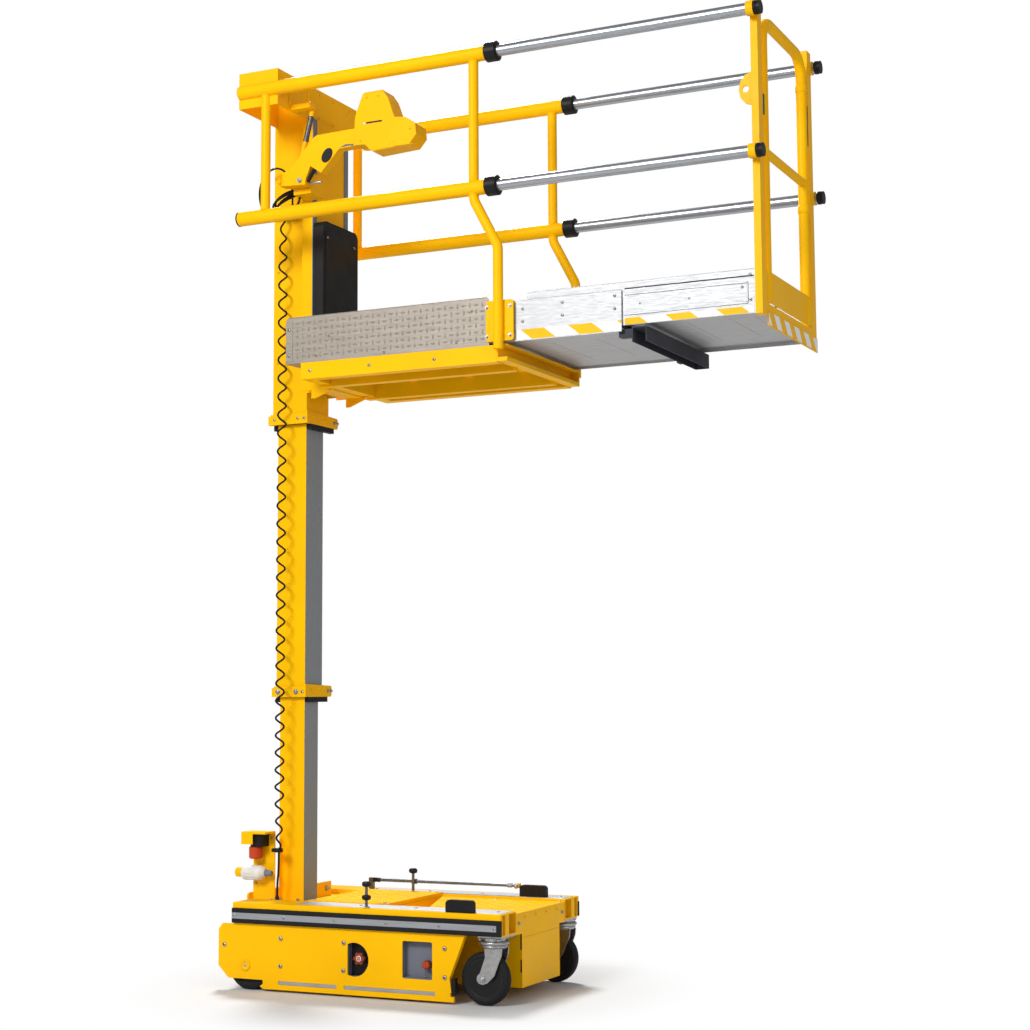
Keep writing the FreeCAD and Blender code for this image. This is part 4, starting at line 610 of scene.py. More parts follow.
box_trim = Piece("battery_box_trim", "chassis", "yellow")
front = bx(BASE_FRONT - 0.002)
for side in (-1, 1):
    box_trim.block((front - 0.002, front + 0.0012), span(side, 0.1785, 0.1795), (0.055, 0.262),
                   "yellow", 0.0004)
    # black strips in the slots: painted shade of the openings into the box
    for slot_z in ((0.196, 0.256), (0.109, 0.158)):
        box_trim.block((front - 0.006, front + 0.0004), span(side, 0.1780, 0.1796), slot_z,
                       "black", 0.0002)
    box_trim.nuts("x", 1, [(front, side * 0.206, 0.300)], 0.006)
box_trim.screws("x", 1, [(front, y, 0.318) for y in (-0.15, -0.05, 0.05, 0.15)], 0.006, "yellow")
box_trim.block((front - 0.001, front + 0.0015), (-0.176, 0.176), (0.240, 0.2425), "yellow", 0.0005)
box_trim.screws("z", 1, product((bx(0.30), bx(0.45), bx(0.59)), SHEET_SCREWS_Y, [COVER_TOP]), 0.006)
box_trim.done()


# Controls behind the near side plate: star knob, and isolator with its padlock
def lobed(x, z, reach, lobe, lobes, steps):
    """Outline of a knob with that many lobes round its rim."""
    outline = []
    for i in range(steps):
        angle = math.tau * i / steps
        radius = reach + lobe * math.cos(lobes * angle)
        outline.append((x + radius * math.cos(angle), z + radius * math.sin(angle)))
    return outline


panel = Piece("side_controls", "chassis", "black_plastic")
x, face, z = bx(-0.022), -0.3592, 0.152
panel.plate("xz", lobed(x, z, 0.0225, 0.0035, 6, 48), face, -0.3475, "rust_red")
panel.turned("y", (x, face, z), facing(-1, [(0.0115, 0), (0.0115, 0.0012), (0.009, 0.002)]), "white", 28)
panel.turned("y", (x, face - 0.002, z), facing(-1, [(0.0078, 0), (0.0070, 0.0008)]), "amber", 24)
panel.block(about(x, 0.005), (-0.3626, -0.3618), about(z, 0.0012), "white", 0.0002)
x, face, z = bx(0.278), -0.3585, 0.143
panel.plate("xz", lobed(x, z, 0.0165, 0.0013, 10, 40), face, -0.340, "rust_red")
panel.turned("y", (x, face, z), facing(-1, [(0.013, 0), (0.012, 0.003), (0.006, 0.0036)]), "amber", 24)
panel.block(about(x, 0.0025), (-0.3630, -0.3595), about(z, 0.011), "rust_red", 0.0008)
panel.swept([(x - 0.008, -0.335, z - 0.012), (x - 0.012, -0.345, z - 0.03), (x - 0.010, -0.345, z - 0.042)],
            0.0012, "steel")
panel.turned("z", (x - 0.010, -0.345, z - 0.050), [(0.003, 0), (0.004, 0.004), (0.002, 0.009)], "zinc", 10)
panel.screws("y", -1, [(bx(x), -0.3290, z) for z in (0.100, 0.218) for x in (0.190, 0.296)], 0.004)
panel.done()

# Black sheet on the back of the star knob's recess: painted shade inside the recess
recess_shade = Piece("recess_painted_shade", "chassis", "black_plastic")
recess_shade.block(bspan(-0.069, 0.025), (-0.3312, -0.3285), (0.083, 0.213), "black", 0.0005)
recess_shade.done()

# Wheels: profiles in shares of the radius and of half the width, tyres up to the middle plane
CASTER_TYRE = ((0.74, -0.80), (0.80, -0.98), (0.90, -0.92), (0.965, -0.66), (0.992, -0.38), (1, -0.1))
CASTER_HUB = (
    (0.76, 0.4), (0.75, 0.82), (0.70, 0.86), (0.67, 0.60), (0.38, 0.52), (0.33, 0.84), (0.26, 0.88),
    (0.14, 0.86),
)
DRIVE_TYRE = ((0.72, -0.9), (0.78, -1), (0.95, -1), (1, -0.84))
DRIVE_HUB = ((0.73, 0), (0.72, 0.86), (0.66, 0.84), (0.62, 0.55), (0.30, 0.50), (0.24, 0.80), (0.10, 0.82))


def round_y(x, y, z, radius, count):
    """Places in a circle round an axis along Y."""
    angles = [math.tau * i / count for i in range(count)]
    return [(x + radius * math.cos(angle), y, z + radius * math.sin(angle)) for angle in angles]


def tyred(name, tyre):
    """Piece of a wheel with its tyre, the wheel's centre, its radius and half its width."""
    low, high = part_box(name)
    centre = tuple((a + b) / 2 for a, b in zip(low, high))
    radius = (high.z - low.z) / 2 - 0.0002
    half = (high.y - low.y) / 2 - 0.0003
    wheel = Piece(name + "_detail", name, "tyre")
    profile = [*tyre, *((share, -width) for share, width in reversed(tyre))]
    wheel.turned("y", centre, [(radius * r, half * a) for r, a in profile], "tyre", 72)
    return wheel, centre, radius, half


def caster_wheel(name):
    wheel, (x, y, z), radius, half = tyred(name, CASTER_TYRE)
    for sign in (-1, 1):
        hub = [(radius * r, sign * half * a) for r, a in CASTER_HUB]
        wheel.turned("y", (x, y, z), hub, "hub", 48)
        axle = [(radius * 0.13, sign * half * 0.5), (radius * 0.12, sign * half * 0.88)]
        wheel.turned("y", (x, y, z), axle, "zinc", 24)
        dimple = facing(sign, [(0.006, 0), (0.0055, 0.0012), (0.003, 0.0012)])
        for spot in round_y(x, y + sign * half * 0.54, z, radius * 0.53, 5):
            wheel.turned("y", spot, dimple, "hub", 12)
    wheel.done(name)


def drive_wheel(name):
    wheel, (x, y, z), radius, half = tyred(name, DRIVE_TYRE)
    reach = radius - 0.0016
    for i in range(36):
        rib = []
        for share, turn in ((-0.82, 0), (-0.3, 0.05), (0.3, 0.05), (0.82, 0)):
            angle = math.tau * (i + 0.5) / 36 + turn
            rib.append((x + reach * math.cos(angle), y + share * half, z + reach * math.sin(angle)))
        wheel.swept(rib, 0.0012, "tyre")
    for sign in (-1, 1):
        hub = [(radius * r, sign * half * a) for r, a in DRIVE_HUB]
        wheel.turned("y", (x, y, z), hub, "hub", 48)
        wheel.nuts("y", sign, round_y(x, y + sign * half * 0.52, z, radius * 0.46, 5), 0.006)
        wheel.screws("y", sign, [(x, y + sign * half * 0.82, z)], 0.008)
    wheel.done(name)


# Casters: rim and ball race of the swivel ring, nuts of the axle and of the plate
CASTER = (0.5575, 0.322, 0.2467)    # the ring's centre on the far side, from the base's middle
TRAIL = 0.035
RIM = ((0.0525, -0.0002), (0.0560, -0.0015), (0.0580, -0.0050), (0.0585, -0.0090), (0.0560, -0.0125),
       (0.0515, -0.0150))
RACE = ((0.0480, -0.0150), (0.0525, -0.0170), (0.0530, -0.0200), (0.0500, -0.0235), (0.0470, -0.0268))
for place, side in (("near", -1), ("far", 1)):
    drive_wheel("drive_wheel_" + place)
    caster_wheel("caster_wheel_" + place)
    x, y, z = bx(CASTER[0]), side * CASTER[1], CASTER[2]
    ring = Piece("caster_detail_" + place, "caster_" + place, "zinc")
    ring.turned("z", (x, y, z), RIM, "zinc", 56)
    ring.turned("z", (x, y, z), RACE, "zinc", 56)
    for sign in (-1, 1):
        ring.nuts("y", sign, [(bx(CASTER[0] - TRAIL), y + sign * 0.0323, 0.1025)], 0.010)
    ring.done()
    mount = Piece("caster_mount_" + place, "chassis", "zinc")
    mount.nuts("z", -1, product((x - 0.042, x + 0.036), about(y, 0.0405), [0.257]), 0.006)
    mount.done()

# Motors under the rear: ribs, bolts and a lead
motor_x, motor_z = bx(-0.5405), 0.100
motors = Piece("motor_detail", "chassis", "dark_steel")
for side in (-1, 1):
    for i in range(7):
        rib = [(0.0578, 0), (0.0590, 0.001), (0.0590, 0.004), (0.0578, 0.005)]
        motors.turned("y", (motor_x, side * (0.262 - 0.012 * i), motor_z), rib, "steel", 40)
    motors.screws("y", -side, round_y(motor_x, side * 0.165, motor_z, 0.048, 6), 0.005)
    lead = ((-0.50, 0.20, 0.155), (-0.48, 0.20, 0.185), (-0.45, 0.17, 0.215), (-0.44, 0.12, 0.240))
    motors.swept([(bx(x), side * y, z) for x, y, z in lead], 0.005, "rubber")
motors.done()

# Mast: bolts of the collars, each with its lower edge and half its size along X and Y
COLLARS = {"mast_stage": (1.180, 0.071, 0.069), "platform": (2.350, 0.085, 0.090)}
for body, (bottom, half_x, half_y) in COLLARS.items():
    bolts = Piece("collar_bolts_" + body, body, "zinc")
    near, far, z = -half_y - 0.008, half_y + 0.008, bottom + 0.022
    spots = [(mx(-half_x + 0.012), near, z), (mx(half_x - 0.040), near, z)]
    if body == "platform":
        bolts.screws("y", -1, spots, 0.0065)
    else:
        bolts.nuts("y", -1, spots, 0.0085)
    bolts.screws("y", -1, [(mx(half_x - 0.008), near, z)], 0.007)
    bolts.nuts("y", 1, [(mx(-half_x + 0.012), far, z), (mx(half_x - 0.030), far, z)], 0.0085)
    front = mx(half_x + 0.008)
    bolts.nuts("x", 1, [(front, half_y + y, bottom + 0.025) for y in (0.035, 0.060)], 0.006)
    bolts.screws("x", 1, [(front, y, bottom + 0.028) for y in about(0, half_y * 0.5)], 0.006, "yellow")
    bolts.done()
seams = Piece("mast_seams", "platform", "yellow")
seams.screws("y", -1, [(x, -0.090, z) for z in (2.62, 3.02, 3.42) for x in mspan(-0.062, 0.062)],
             0.006, "yellow")
seams.done()
foot = Piece("mast_foot_bolts", "chassis", "zinc")
foot.nuts("x", -1, [(bx(-0.6995), y, 0.338) for y in (-0.10, 0.10)], 0.009)
foot.nuts("x", 1, [(mx(0.061), 0.13, 0.362)], 0.009)
foot.nuts("z", 1, product(mspan(-0.04, 0.045), (-0.075, 0.075), [FOOT]), 0.008)
foot.done()

# Fittings on the foot of the mast
FITTING_FACE = -0.109    # near face of their plate
low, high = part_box("beacon")
radius = (high.x - low.x) / 2 - 0.0006
lens = [(radius * 0.80, low.z + 0.0003), (radius * 0.92, low.z + 0.004)]
for i in range(6):
    z = low.z + 0.008 + i * 0.0065
    lens += [(radius, z), (radius * 0.94, z + 0.0035)]
lens += [(radius * 0.97, high.z - 0.004), (radius * 0.80, high.z - 0.0005)]
beacon = Piece("beacon_lens", "chassis", "amber")
beacon.turned("z", ((low.x + high.x) / 2, (low.y + high.y) / 2, 0), lens, "amber", 48)
beacon.done("beacon")

fittings = Piece("fitting_detail", "chassis", "black_plastic")
low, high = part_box("sounder")
fittings.block((low.x + 0.004, high.x - 0.004), (low.y - 0.0008, low.y + 0.002),
               (low.z + 0.005, high.z - 0.005), "black", 0.0006)
for i in range(5):
    z = low.z + 0.012 + i * 0.008
    fittings.block((low.x + 0.008, high.x - 0.008), (low.y - 0.002, low.y + 0.001), (z, z + 0.003),
                   "hub", 0.0005)
corners = ((-0.060, 0.335), (-0.060, 0.590), (-0.140, 0.590), (-0.140, 0.400))
fittings.screws("y", -1, [(mx(x), FITTING_FACE, z) for x, z in corners], 0.006)
fittings.done()

CAP = ((0.0185, 0.0003), (0.0200, 0.002), (0.0200, 0.026), (0.0185, 0.034))
SHELL = (
    (0.0225, 0.033), (0.0300, 0.038), (0.0318, 0.044), (0.0318, 0.056), (0.0290, 0.060), (0.0290, 0.098),
    (0.0310, 0.103), (0.0310, 0.118), (0.0260, 0.128), (0.0185, 0.134), (0.0160, 0.142),
)
GLAND = ((0.0135, 0.141), (0.0138, 0.150), (0.0115, 0.153), (0.0120, 0.168), (0.0080, 0.1755))
low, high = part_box("power_inlet")
x, y, z = low.x, FITTING_FACE - 0.032, 0.446
inlet = Piece("power_inlet_detail", "chassis", "white_plastic")
inlet.turned("x", (x, y, z), CAP, "yellow", 32)
inlet.turned("x", (x, y, z), SHELL, "white", 36)
for i in range(14):
    rib_y = y + 0.0292 * math.cos(math.tau * i / 14)
    rib_z = z + 0.0292 * math.sin(math.tau * i / 14)
    inlet.block((x + 0.062, x + 0.096), about(rib_y, 0.0015), about(rib_z, 0.0015), "white", 0.0006)
inlet.turned("x", (x, y, z), GLAND, "grey", 24)
inlet.block((x + 0.074, x + 0.124), (y + 0.012, FITTING_FACE - 0.0002), about(z, 0.022), "white", 0.002)
inlet.done("power_inlet")

# Deck linkage: knobs, rod ends and nuts
ROD_Z = 0.392
KNOB = ((0.010, 0), (0.0138, 0.002), (0.0142, 0.010), (0.0138, 0.019), (0.010, 0.021))
KNOB_EYE = ((0.0085, -0.016), (0.0095, -0.012), (0.0095, 0.012), (0.0085, 0.016))
ROD_NUT = ((0.0078, 0), (0.0098, 0.004), (0.0098, 0.022), (0.0078, 0.026))
links = Piece("linkage_detail", "chassis", "black_plastic")
for x, y, heights in ((bx(-0.002), -0.334, (0.039, 0.091)), (bx(-0.109), 0.250, (0.089,))):
    for height in heights:
        links.turned("z", (x, y, SIDE_TOP + height - 0.0105), KNOB, "black", 28)
        links.turned("x", (x, y, SIDE_TOP + height), KNOB_EYE, "black", 20)
    links.turned("z", (x, y, SIDE_TOP), [(0.012, 0), (0.012, 0.003), (0.008, 0.004)], "zinc", 20)
links.turned("x", (mx(0.218), 0.265, ROD_Z), [(0.0095, 0), (0.0095, 0.03), (0.008, 0.034)], "black", 20)
links.turned("x", (bx(0.33), 0.265, ROD_Z), ROD_NUT, "zinc", 6, False)
links.nuts("y", -1, [(bx(0.3815), 0.243, ROD_Z)], 0.008)
links.nuts("y", 1, [(bx(0.3815), 0.2655, ROD_Z)], 0.006)
for pad_x, y in ((0.3655, -0.362), (0.3925, 0.252)):
    for i in range(4):
        x = bx(pad_x + 0.022 + i * 0.022)
        links.block((x, x + 0.006), (y - 0.0006, y + 0.0246), (0.352, 0.392), "black", 0.0006)
links.done()

# Platform: welds, bolts of the foot plates, end cap of the near mid rail
REAR_POST, FRONT_POST = mspan(0.058, 1.040)
WELD = ((0.020, -0.003), (0.0222, -0.001), (0.0222, 0.001), (0.020, 0.003))
WELD_STEP = 0.0265    # from a rail's axis to the foot of a post
END_CAP = ((0.0300, 0.001), (0.0310, -0.001), (0.0310, -0.005), (0.0260, -0.008))
rails = Piece("rail_detail", "platform", "yellow")
for side in (-1, 1):
    y = side * RAIL_Y
    for spot in (
        (REAR_POST, y, TOP_RAIL - WELD_STEP), (REAR_POST, y, MID_RAIL + WELD_STEP),
        (FRONT_POST, y, TOP_RAIL - WELD_STEP), (FRONT_POST, y, MID_RAIL + WELD_STEP),
        (FRONT_POST, y, MID_RAIL - WELD_STEP),
    ):
        rails.turned("z", spot, WELD, "yellow", 28)
    foot_bolts = product(mspan(1.0885, 1.190), [side * 0.372], (DECK + 0.147, DECK + 0.030))
    rails.nuts("y", side, foot_bolts, 0.006)
rails.turned("x", (mx(-0.067), -RAIL_Y, MID_RAIL), END_CAP, "black", 36)
rails.done()

# Mast head: cross plate, near end plate in the near rail's plane, plate back to the mast, arms
HEAD_TOP = TOP_RAIL + 0.086
HEAD_LOW = TOP_RAIL - 0.070
HEAD_SEAT = TOP_RAIL + 0.050
NEAR_END = -0.3815
NOTCH = about(TOP_RAIL, 0.0278)
SHEET_EDGE = 0.0012
head = Piece("mast_head_plates", "platform", "yellow")
# the near end is notched round the top rail, whose bore stays clear for the sliding rail
cross = [
    (NEAR_END, HEAD_LOW + 0.0004), (0.278, HEAD_LOW + 0.0004), (0.290, HEAD_LOW + 0.012),
    (0.290, HEAD_TOP - 0.012), (0.278, HEAD_TOP - 0.0004), (NEAR_END, HEAD_TOP - 0.0004),
    (NEAR_END, NOTCH[1]), (-0.3540, NOTCH[1]), (-0.3540, NOTCH[0]), (NEAR_END, NOTCH[0]),
]
head.plate("yz", cross, mx(0.108), mx(0.116), "yellow")
for strip_z in ((HEAD_LOW, TOP_RAIL - 0.0285), (TOP_RAIL + 0.0285, HEAD_TOP)):
    head.block(mspan(-0.0775, 0.1165), (-0.386, -0.380), strip_z, "yellow", 0.0008)
head.turned("x", (mx(-0.067), -RAIL_Y, TOP_RAIL), [(0.0295, 0.0005), (0.0295, -0.0055)], "yellow", 36)
for plate_x, plate_y, plate_z in (
    ((-0.078, -0.072), (-0.383, -0.0905), (HEAD_LOW, HEAD_TOP)),
    ((0.085, 0.109), (-0.090, 0.090), (HEAD_LOW, HEAD_SEAT)),
    ((0.100, 0.116), (0.278, 0.355), about(TOP_RAIL, 0.020)),
    ((0.115, 0.212), (-0.285, -0.240), (HEAD_LOW, HEAD_LOW + 0.024)),
):
    head.block(mspan(*plate_x), plate_y, plate_z, "yellow", SHEET_EDGE)
for y in (-0.30, -0.15):
    head.block(mspan(0.1155, 0.1215), (y, y + 0.012), (HEAD_LOW + 0.02, HEAD_TOP - 0.02), "yellow", 0.002)
head.done("mast_head")

SLEEVE = (
    (0.0362, -0.004), (0.0398, -0.0015), (0.0402, 0.004), (0.0385, 0.008), (0.0385, 0.034),
    (0.0402, 0.038), (0.0395, 0.0445), (0.0330, 0.0475), (0.0240, 0.0480),
)
sleeves = Piece("sleeve_detail", "platform", "black_plastic")
for side in (-1, 1):
    for z in (TOP_RAIL, MID_RAIL):
        sleeves.turned("x", (mx(1.103), side * RAIL_Y, z), SLEEVE, "black", 44)
        sleeves.screws("z", 1, [(mx(1.123), side * RAIL_Y, z + 0.0384)], 0.004)
sleeves.done()

# Boards of the fixed deck: fine tread, bolts and the folded band
BOARD_FACE = 0.364
RIVETS = ((0.30, 0.02), (0.36, 0.10), (0.62, 0.01), (0.95, 0.02), (1.02, 0.14))
boards = Piece("board_detail", "platform", "aluminium")
for side in (-1, 1):
    if side < 0:
        lozenges(boards, mspan(0.195, 1.080), (DECK + 0.012, DECK + 0.178), -0.3642, 0.027, 0.023,
                 "board", plane="xz", rise=0.0006)
    boards.screws("y", side, [(mx(0.169), side * 0.366, DECK + z) for z in (0.030, 0.140)], 0.007)
    boards.screws("y", side, [(mx(x), side * BOARD_FACE, DECK + z) for x, z in RIVETS], 0.005, "board")
    boards.block(mspan(0.165, 1.085), span(side, 0.3585, 0.3655), about(DECK + 0.190, 0.0015),
                 "board", 0.001)
boards.done()
floors = Piece("floor_tread", "platform", "aluminium")
lozenges(floors, mspan(0.16, 0.72), (-0.35, 0.35), DECK, 0.030, 0.026, "board", rise=0.002)
floors.done()

under = Piece("underframe_detail", "platform", "yellow")
for side in (-1, 1):
    under.screws("y", side, [(mx(x), side * BOARD_FACE, DECK - 0.038) for x in (0.27, 0.55, 0.85)], 0.007)
for x in (0.45, 0.72, 0.98):
    under.block(mspan(x, x + 0.035), (-0.315, 0.315), (DECK - 0.021, DECK - 0.0032), "yellow", 0.002)
for side in (-1, 1):
    under.nuts("x", 1, product([mx(0.143)], (side * 0.06, side * 0.12), (DECK - 0.050, DECK - 0.024)), 0.007)
under.done()

def stage_floor(piece, floor, rear, front, half, folds, fold_length):
    """Tread on a stage's sheet, and the folds under it."""
    for x in folds:
        piece.block(bspan(x, x + fold_length), (-0.200, 0.200), (floor - 0.0040, floor - 0.0028),
                    "stage", 0.0004)
    lozenges(piece, bspan(rear, front), (-half, half), floor, 0.030, 0.024, "stage", rise=0.002)


# Middle stage: bolts, tread, folds under its sheet and warning tape
MIDDLE_FACE = 0.355
MIDDLE_BOLTS = (
    (0.710, 2.690), (0.710, 2.640), (0.880, 2.700), (0.880, 2.650), (1.100, 2.705), (1.100, 2.655),
)
middle = Piece("middle_stage_detail", "middle_stage", "aluminium")
for side in (-1, 1):
    middle.screws("y", side, [(bx(x), side * MIDDLE_FACE, z) for x, z in MIDDLE_BOLTS], 0.006)
    middle.block(bspan(0.684, 1.126), span(side, MIDDLE_FACE, MIDDLE_FACE + 0.0008), (2.568, 2.608),
                 "tape_side", 0.0002)
    middle.block(bspan(0.215, 1.1275), span(side, 0.340, 0.3555), about(2.725, 0.0015), "stage", 0.001)
stage_floor(middle, 2.578, 0.21, 1.12, 0.33, (0.76, 0.95, 1.08), 0.012)
middle.done()

# End stage: framed panel, bolts, tread, folds, warning tape, caps of the sliding rails
END_FACE = 0.346
end = Piece("end_stage_detail", "end_stage", "aluminium")
for side in (-1, 1):
    for start, stop, bottom, top, depth, finish_name in (
        (1.138, 1.631, 2.704, 2.712, 0.004, "stage"),
        (1.138, 1.631, 2.626, 2.634, 0.004, "stage"),
        (1.627, 1.633, 2.630, 2.708, 0.004, "stage"),
        (1.138, 1.655, 2.728, 2.732, 0.0025, "black"),
        (1.138, 1.655, 2.590, 2.6155, 0.0016, "tape_side"),
    ):
        reach = span(side, END_FACE - 0.0005, END_FACE + depth)
        end.block(bspan(start, stop), reach, (bottom, top), finish_name, 0.0006)
    end_bolts = ((1.642, 2.735), (1.642, 2.640), (1.610, 2.690))
    end.screws("y", side, [(bx(x), side * (END_FACE + 0.0005), z) for x, z in end_bolts], 0.006)
    end.screws("y", side, [(bx(x), side * END_FACE, 2.668) for x in (1.20, 1.40)], 0.004)
    end.block(bspan(0.75, 1.655), span(side, 0.333, 0.3465), about(2.756, 0.0015), "stage", 0.001)
stage_floor(end, 2.608, 0.75, 1.65, 0.32, (1.30, 1.33, 1.50, 1.60), 0.010)
end.block(bspan(1.6925, 1.6937), (-0.288, 0.348), (2.552, 2.601), "tape_end", 0.0003)
GATE_X = mx(2.204)
for side in (-1, 1):
    for z in (TOP_RAIL, MID_RAIL):
        cap = (mx(2.239 if side > 0 else 2.231), side * RAIL_Y, z)
        end.turned("x", cap, [(0.0262, -0.012), (0.0268, -0.008), (0.0268, 0.002)], "black", 36)
        end.screws("z", -1, [(GATE_X, side * RAIL_Y, z - 0.0282)], 0.004)
end.done()

# Gate: hinges, latch, closing strut
CLOSER = ((0.006, 0), (0.012, 0.006), (0.012, 0.170), (0.007, 0.176), (0.0055, 0.250), (0.004, 0.254))
HINGE = ((0.0215, 0), (0.0235, 0.003), (0.0235, 0.032), (0.0215, 0.035))
gate = Piece("gate_detail", "gate", "yellow")
for z in (2.72, 3.10, 3.60):
    gate.turned("z", (GATE_X, 0.255, z), HINGE, "yellow", 28)
gate.block((GATE_X - 0.008, GATE_X + 0.012), (-0.285, -0.262), (3.36, 3.44), "steel", 0.002)
gate.done()
closer = Piece("gate_closer", "end_stage", "dark_steel")
closer.turned("z", (GATE_X, 0.3005, 3.386), CLOSER, "steel", 24)
closer.screws("x", -1, [(mx(2.190), 0.325, z) for z in (3.40, 3.62)], 0.007)
closer.screws("x", -1, product([mx(2.190)], (-0.325, 0.325), (TOP_RAIL, MID_RAIL, 2.70)), 0.006, "yellow")
closer.done()

# Control arm and console: places in millimetres ahead of the arm's pin and above it
arm_x, arm_z = mx(0.176), MID_RAIL + 0.1595
ARM_FACE, CONSOLE_FACE = -0.303, -0.310


def at_pin(y, *places):
    """Places at one distance from the middle plane."""
    return [(arm_x + u / 1000, y, arm_z + v / 1000) for u, v in places]


def in_plane(places):
    """The same places as an outline in XZ."""
    return [(x, z) for x, y, z in places]


arm = Piece("control_arm_detail", "control_arm", "yellow")
arm.nuts("y", -1, at_pin(ARM_FACE - 0.0035, (0, 0)), 0.0085)
grip = []
for i in range(28):
    along, across = 33 * math.cos(math.tau * i / 28), 22 * math.sin(math.tau * i / 28)
    grip.append((135 + along * 0.55 - across * 0.83, 91 + along * 0.83 + across * 0.55))
arm.plate("xz", in_plane(at_pin(0, *grip)), ARM_FACE - 0.004, -0.262, "black")
ROD_END = ((0.0045, 0), (0.0055, 0.003), (0.0055, 0.052), (0.0035, 0.056))
arm.turned("x", *at_pin(-0.280, (40, -12)), ROD_END, "zinc", 16)
mark = at_pin(0, (196, 116), (236, 119), (262, 116), (262, 124), (224, 127))
arm.plate("xz", in_plane(mark), ARM_FACE - 0.0012, ARM_FACE + 0.001, "steel")
arm.swept(at_pin(-0.286, (30, -6), (46, 18), (62, 44), (80, 62)), 0.008, "rubber")
arm.done()

STICK = (
    (0.016, 0), (0.016, 0.004), (0.012, 0.010), (0.009, 0.030), (0.013, 0.040), (0.010, 0.052),
    (0.003, 0.055),
)
console = Piece("console_detail", "control_arm", "yellow")
console.block((arm_x + 0.327, arm_x + 0.402), (CONSOLE_FACE - 0.0008, CONSOLE_FACE + 0.0012),
              (arm_z + 0.1985, arm_z + 0.2055), "black", 0.0004)
for place, profile, finish_name, sides in (
    ((319, 200.5), ((0.0055, 0), (0.0050, -0.0025), (0.0025, -0.0032)), "white", 16),
    ((449, 96), ((0.0145, 0), (0.0140, -0.0012), (0.0100, -0.0012)), "yellow", 28),
    ((449, 96), ((0.0098, 0.0005), (0.0090, -0.0006)), "steel", 24),
):
    console.turned("y", *at_pin(CONSOLE_FACE, place), profile, finish_name, sides)
console.block((arm_x + 0.30, arm_x + 0.55), (CONSOLE_FACE - 0.0015, CONSOLE_FACE + 0.002),
              (arm_z + 0.085, arm_z + 0.0875), "yellow", 0.0006)
corners = at_pin(CONSOLE_FACE, (300, 130), (535, 150), (330, 310), (385, 310))
console.screws("y", -1, corners, 0.0045, "yellow")
console.turned("y", *at_pin(-0.215, (360, 270)), STICK, "black", 28)
for u, finish_name in ((420, "amber"), (460, "hub"), (500, "white")):
    button = ((0.010, 0), (0.009, 0.006), (0.005, 0.007))
    console.turned("y", *at_pin(-0.215, (u, 150)), button, finish_name, 20)
console.done()

# Bracket of the arm: gas strut in three diameters, screws
bracket = Piece("bracket_detail", "platform", "dark_steel")
strut_foot = Vector(*at_pin(-0.243, (-44, 44)))
lean = Vector((0.068, 0, 3.6665 - strut_foot.z))
for start, stop, radius, finish_name in (
    (0.02, 0.52, 0.0112, "yellow"), (0.52, 0.56, 0.0125, "steel"), (0.56, 0.92, 0.0116, "steel"),
):
    a, b = strut_foot + lean * start, strut_foot + lean * stop
    bracket.swept([a, a.lerp(b, 0.5), b], radius, finish_name)
bracket.screws("y", -1, at_pin(-0.254, (-45, -30), (10, 32)), 0.0033)
bracket.screws("x", 1, product([mx(0.116)], (-0.23, -0.06, 0.06, 0.20), (3.70, 3.80)), 0.0075, "yellow")
bracket.done()

# Black cover over the slide: folded edges and fixings
cover = Piece("cover_detail", "platform", "black_plastic")
low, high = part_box("mast_cover")
front = high.x + 0.0022
cover.block((high.x - 0.001, front), (low.y + 0.020, high.y - 0.020), (low.z + 0.020, high.z - 0.045),
            "black", 0.001)
cover.block((low.x + 0.012, low.x + 0.016), (low.y - 0.0012, low.y + 0.002),
            (low.z + 0.004, high.z - 0.034), "black", 0.0006)
corners = product([front], (low.y + 0.035, high.y - 0.035), (low.z + 0.04, high.z - 0.07))
cover.screws("x", 1, corners, 0.006)
cover.done()

# Bundle of cables under the console's arm
bundle = Piece("cable_bundle", "platform", "black_rubber")
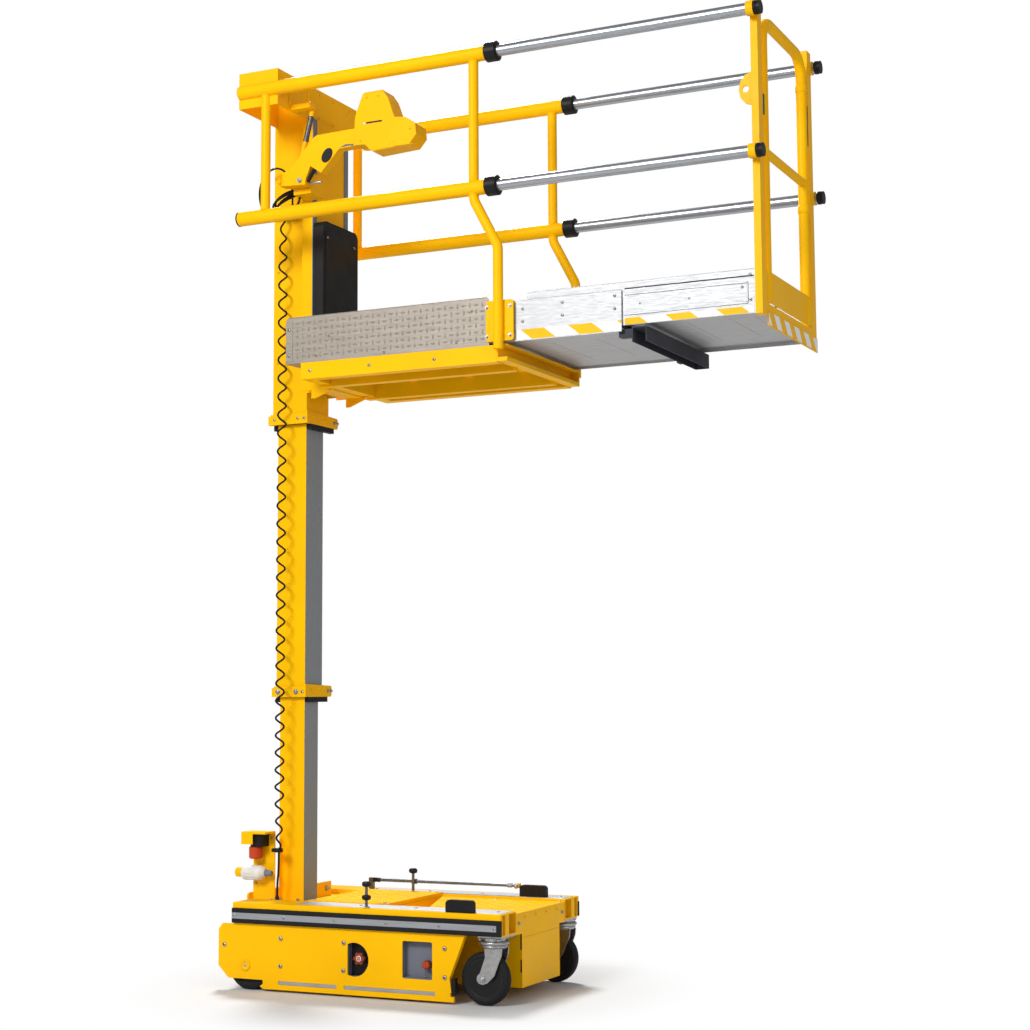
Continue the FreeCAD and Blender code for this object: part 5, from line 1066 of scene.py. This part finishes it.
# sideways, upwards and forwards spread of each cable
for aside, rise, ahead in ((0, 0, 0), (0.013, 0.016, 0.004), (0.020, -0.014, -0.004), (0.030, 0.006, 0.008)):
    bundle.swept([
        (arm_x - 0.058, -0.222 + aside, arm_z - 0.020 + rise / 2),
        (mx(0.080) + ahead, -0.246 + aside, 3.322 + rise),
        (mx(-0.012) + ahead, -0.222 + aside, 3.292 + rise),
        (coil_x - 0.020, coil_y - 0.040 + aside, 3.268 + rise),
        (coil_x - 0.004, coil_y + 0.004, high_end.z + 0.016),
    ], 0.0050, "rubber")
bundle.swept([
    (arm_x - 0.058, -0.205, arm_z - 0.030),
    (arm_x - 0.040, -0.235, arm_z - 0.085),
    (mx(0.060), -0.225, 3.248),
    (mx(-0.010), -0.180, 3.270),
    (coil_x + 0.006, coil_y + 0.004, high_end.z + 0.016),
], 0.0045, "rubber")
bundle.done()


# Floor: matt grey round the lift so that its shadows show, and this grey ring is also a painted shadow pool
# round the lift; white further out for the camera alone
floor_mesh = bpy.data.meshes.new("floor")
floor_mesh.from_pydata([(-30, -30, 0), (30, -30, 0), (30, 30, 0), (-30, 30, 0)], [], [(0, 1, 2, 3)])
floor = placed("floor", floor_mesh)
ground = Finish("floor", (0.62, 0.62, 0.62, 1), 0.9)
apart = ground.add("VectorMath", {0: ground.where, 1: (bx(0), 0, 0)}, operation="DISTANCE")
# inside this distance the floor stays grey: a painted shadow pool round the lift
far_away = ground.ramp(apart.outputs["Value"], 0, 1, 0.68, 1.25, "SMOOTHSTEP")
seen = ground.add("LightPath").outputs["Is Camera Ray"]
white = ground.add("Emission", {"Color": (1, 1, 1, 1)}).outputs[0]
share = ground.math("MULTIPLY", far_away, seen)
blend = ground.add("MixShader", {0: share, 1: ground.shader.outputs[0], 2: white})
ground.link(blend.outputs[0], ground.tree.nodes["Material Output"].inputs["Surface"])
floor_mesh.materials.append(ground.done())

# Light, with a white sky for the camera
world = bpy.data.worlds.new("studio")
bpy.context.scene.world = world
world.use_nodes = True
wt = world.node_tree
background = wt.nodes["Background"]
background.inputs["Color"].default_value = (1, 1, 1, 1)
seen = add_node(wt, "LightPath").outputs["Is Camera Ray"]
strength = add_node(wt, "MapRange", {"Value": seen, "To Min": 0.34, "To Max": 1.0})
wt.links.new(strength.outputs["Result"], background.inputs["Strength"])


def lamp(name, place, aim, size, power):
    """Round area light that looks at a point."""
    data = bpy.data.lights.new(name, "AREA")
    data.shape = "DISK"
    data.size = size
    data.energy = power
    made = placed(name, data)
    made.location = place
    made.rotation_euler = (Vector(aim) - Vector(place)).to_track_quat("-Z", "Y").to_euler()


lamp("key", (-1.5, -7.5, 5.5), (0, 0, 1.6), 3.0, 520)
lamp("fill", (6.5, -3.5, 3.5), (0, 0, 1.8), 3.0, 95)
lamp("rim", (-3.0, 3.6, 7), (0, 0, 1.0), 1.8, 620)

bpy.context.scene.view_settings.view_transform = "Standard"
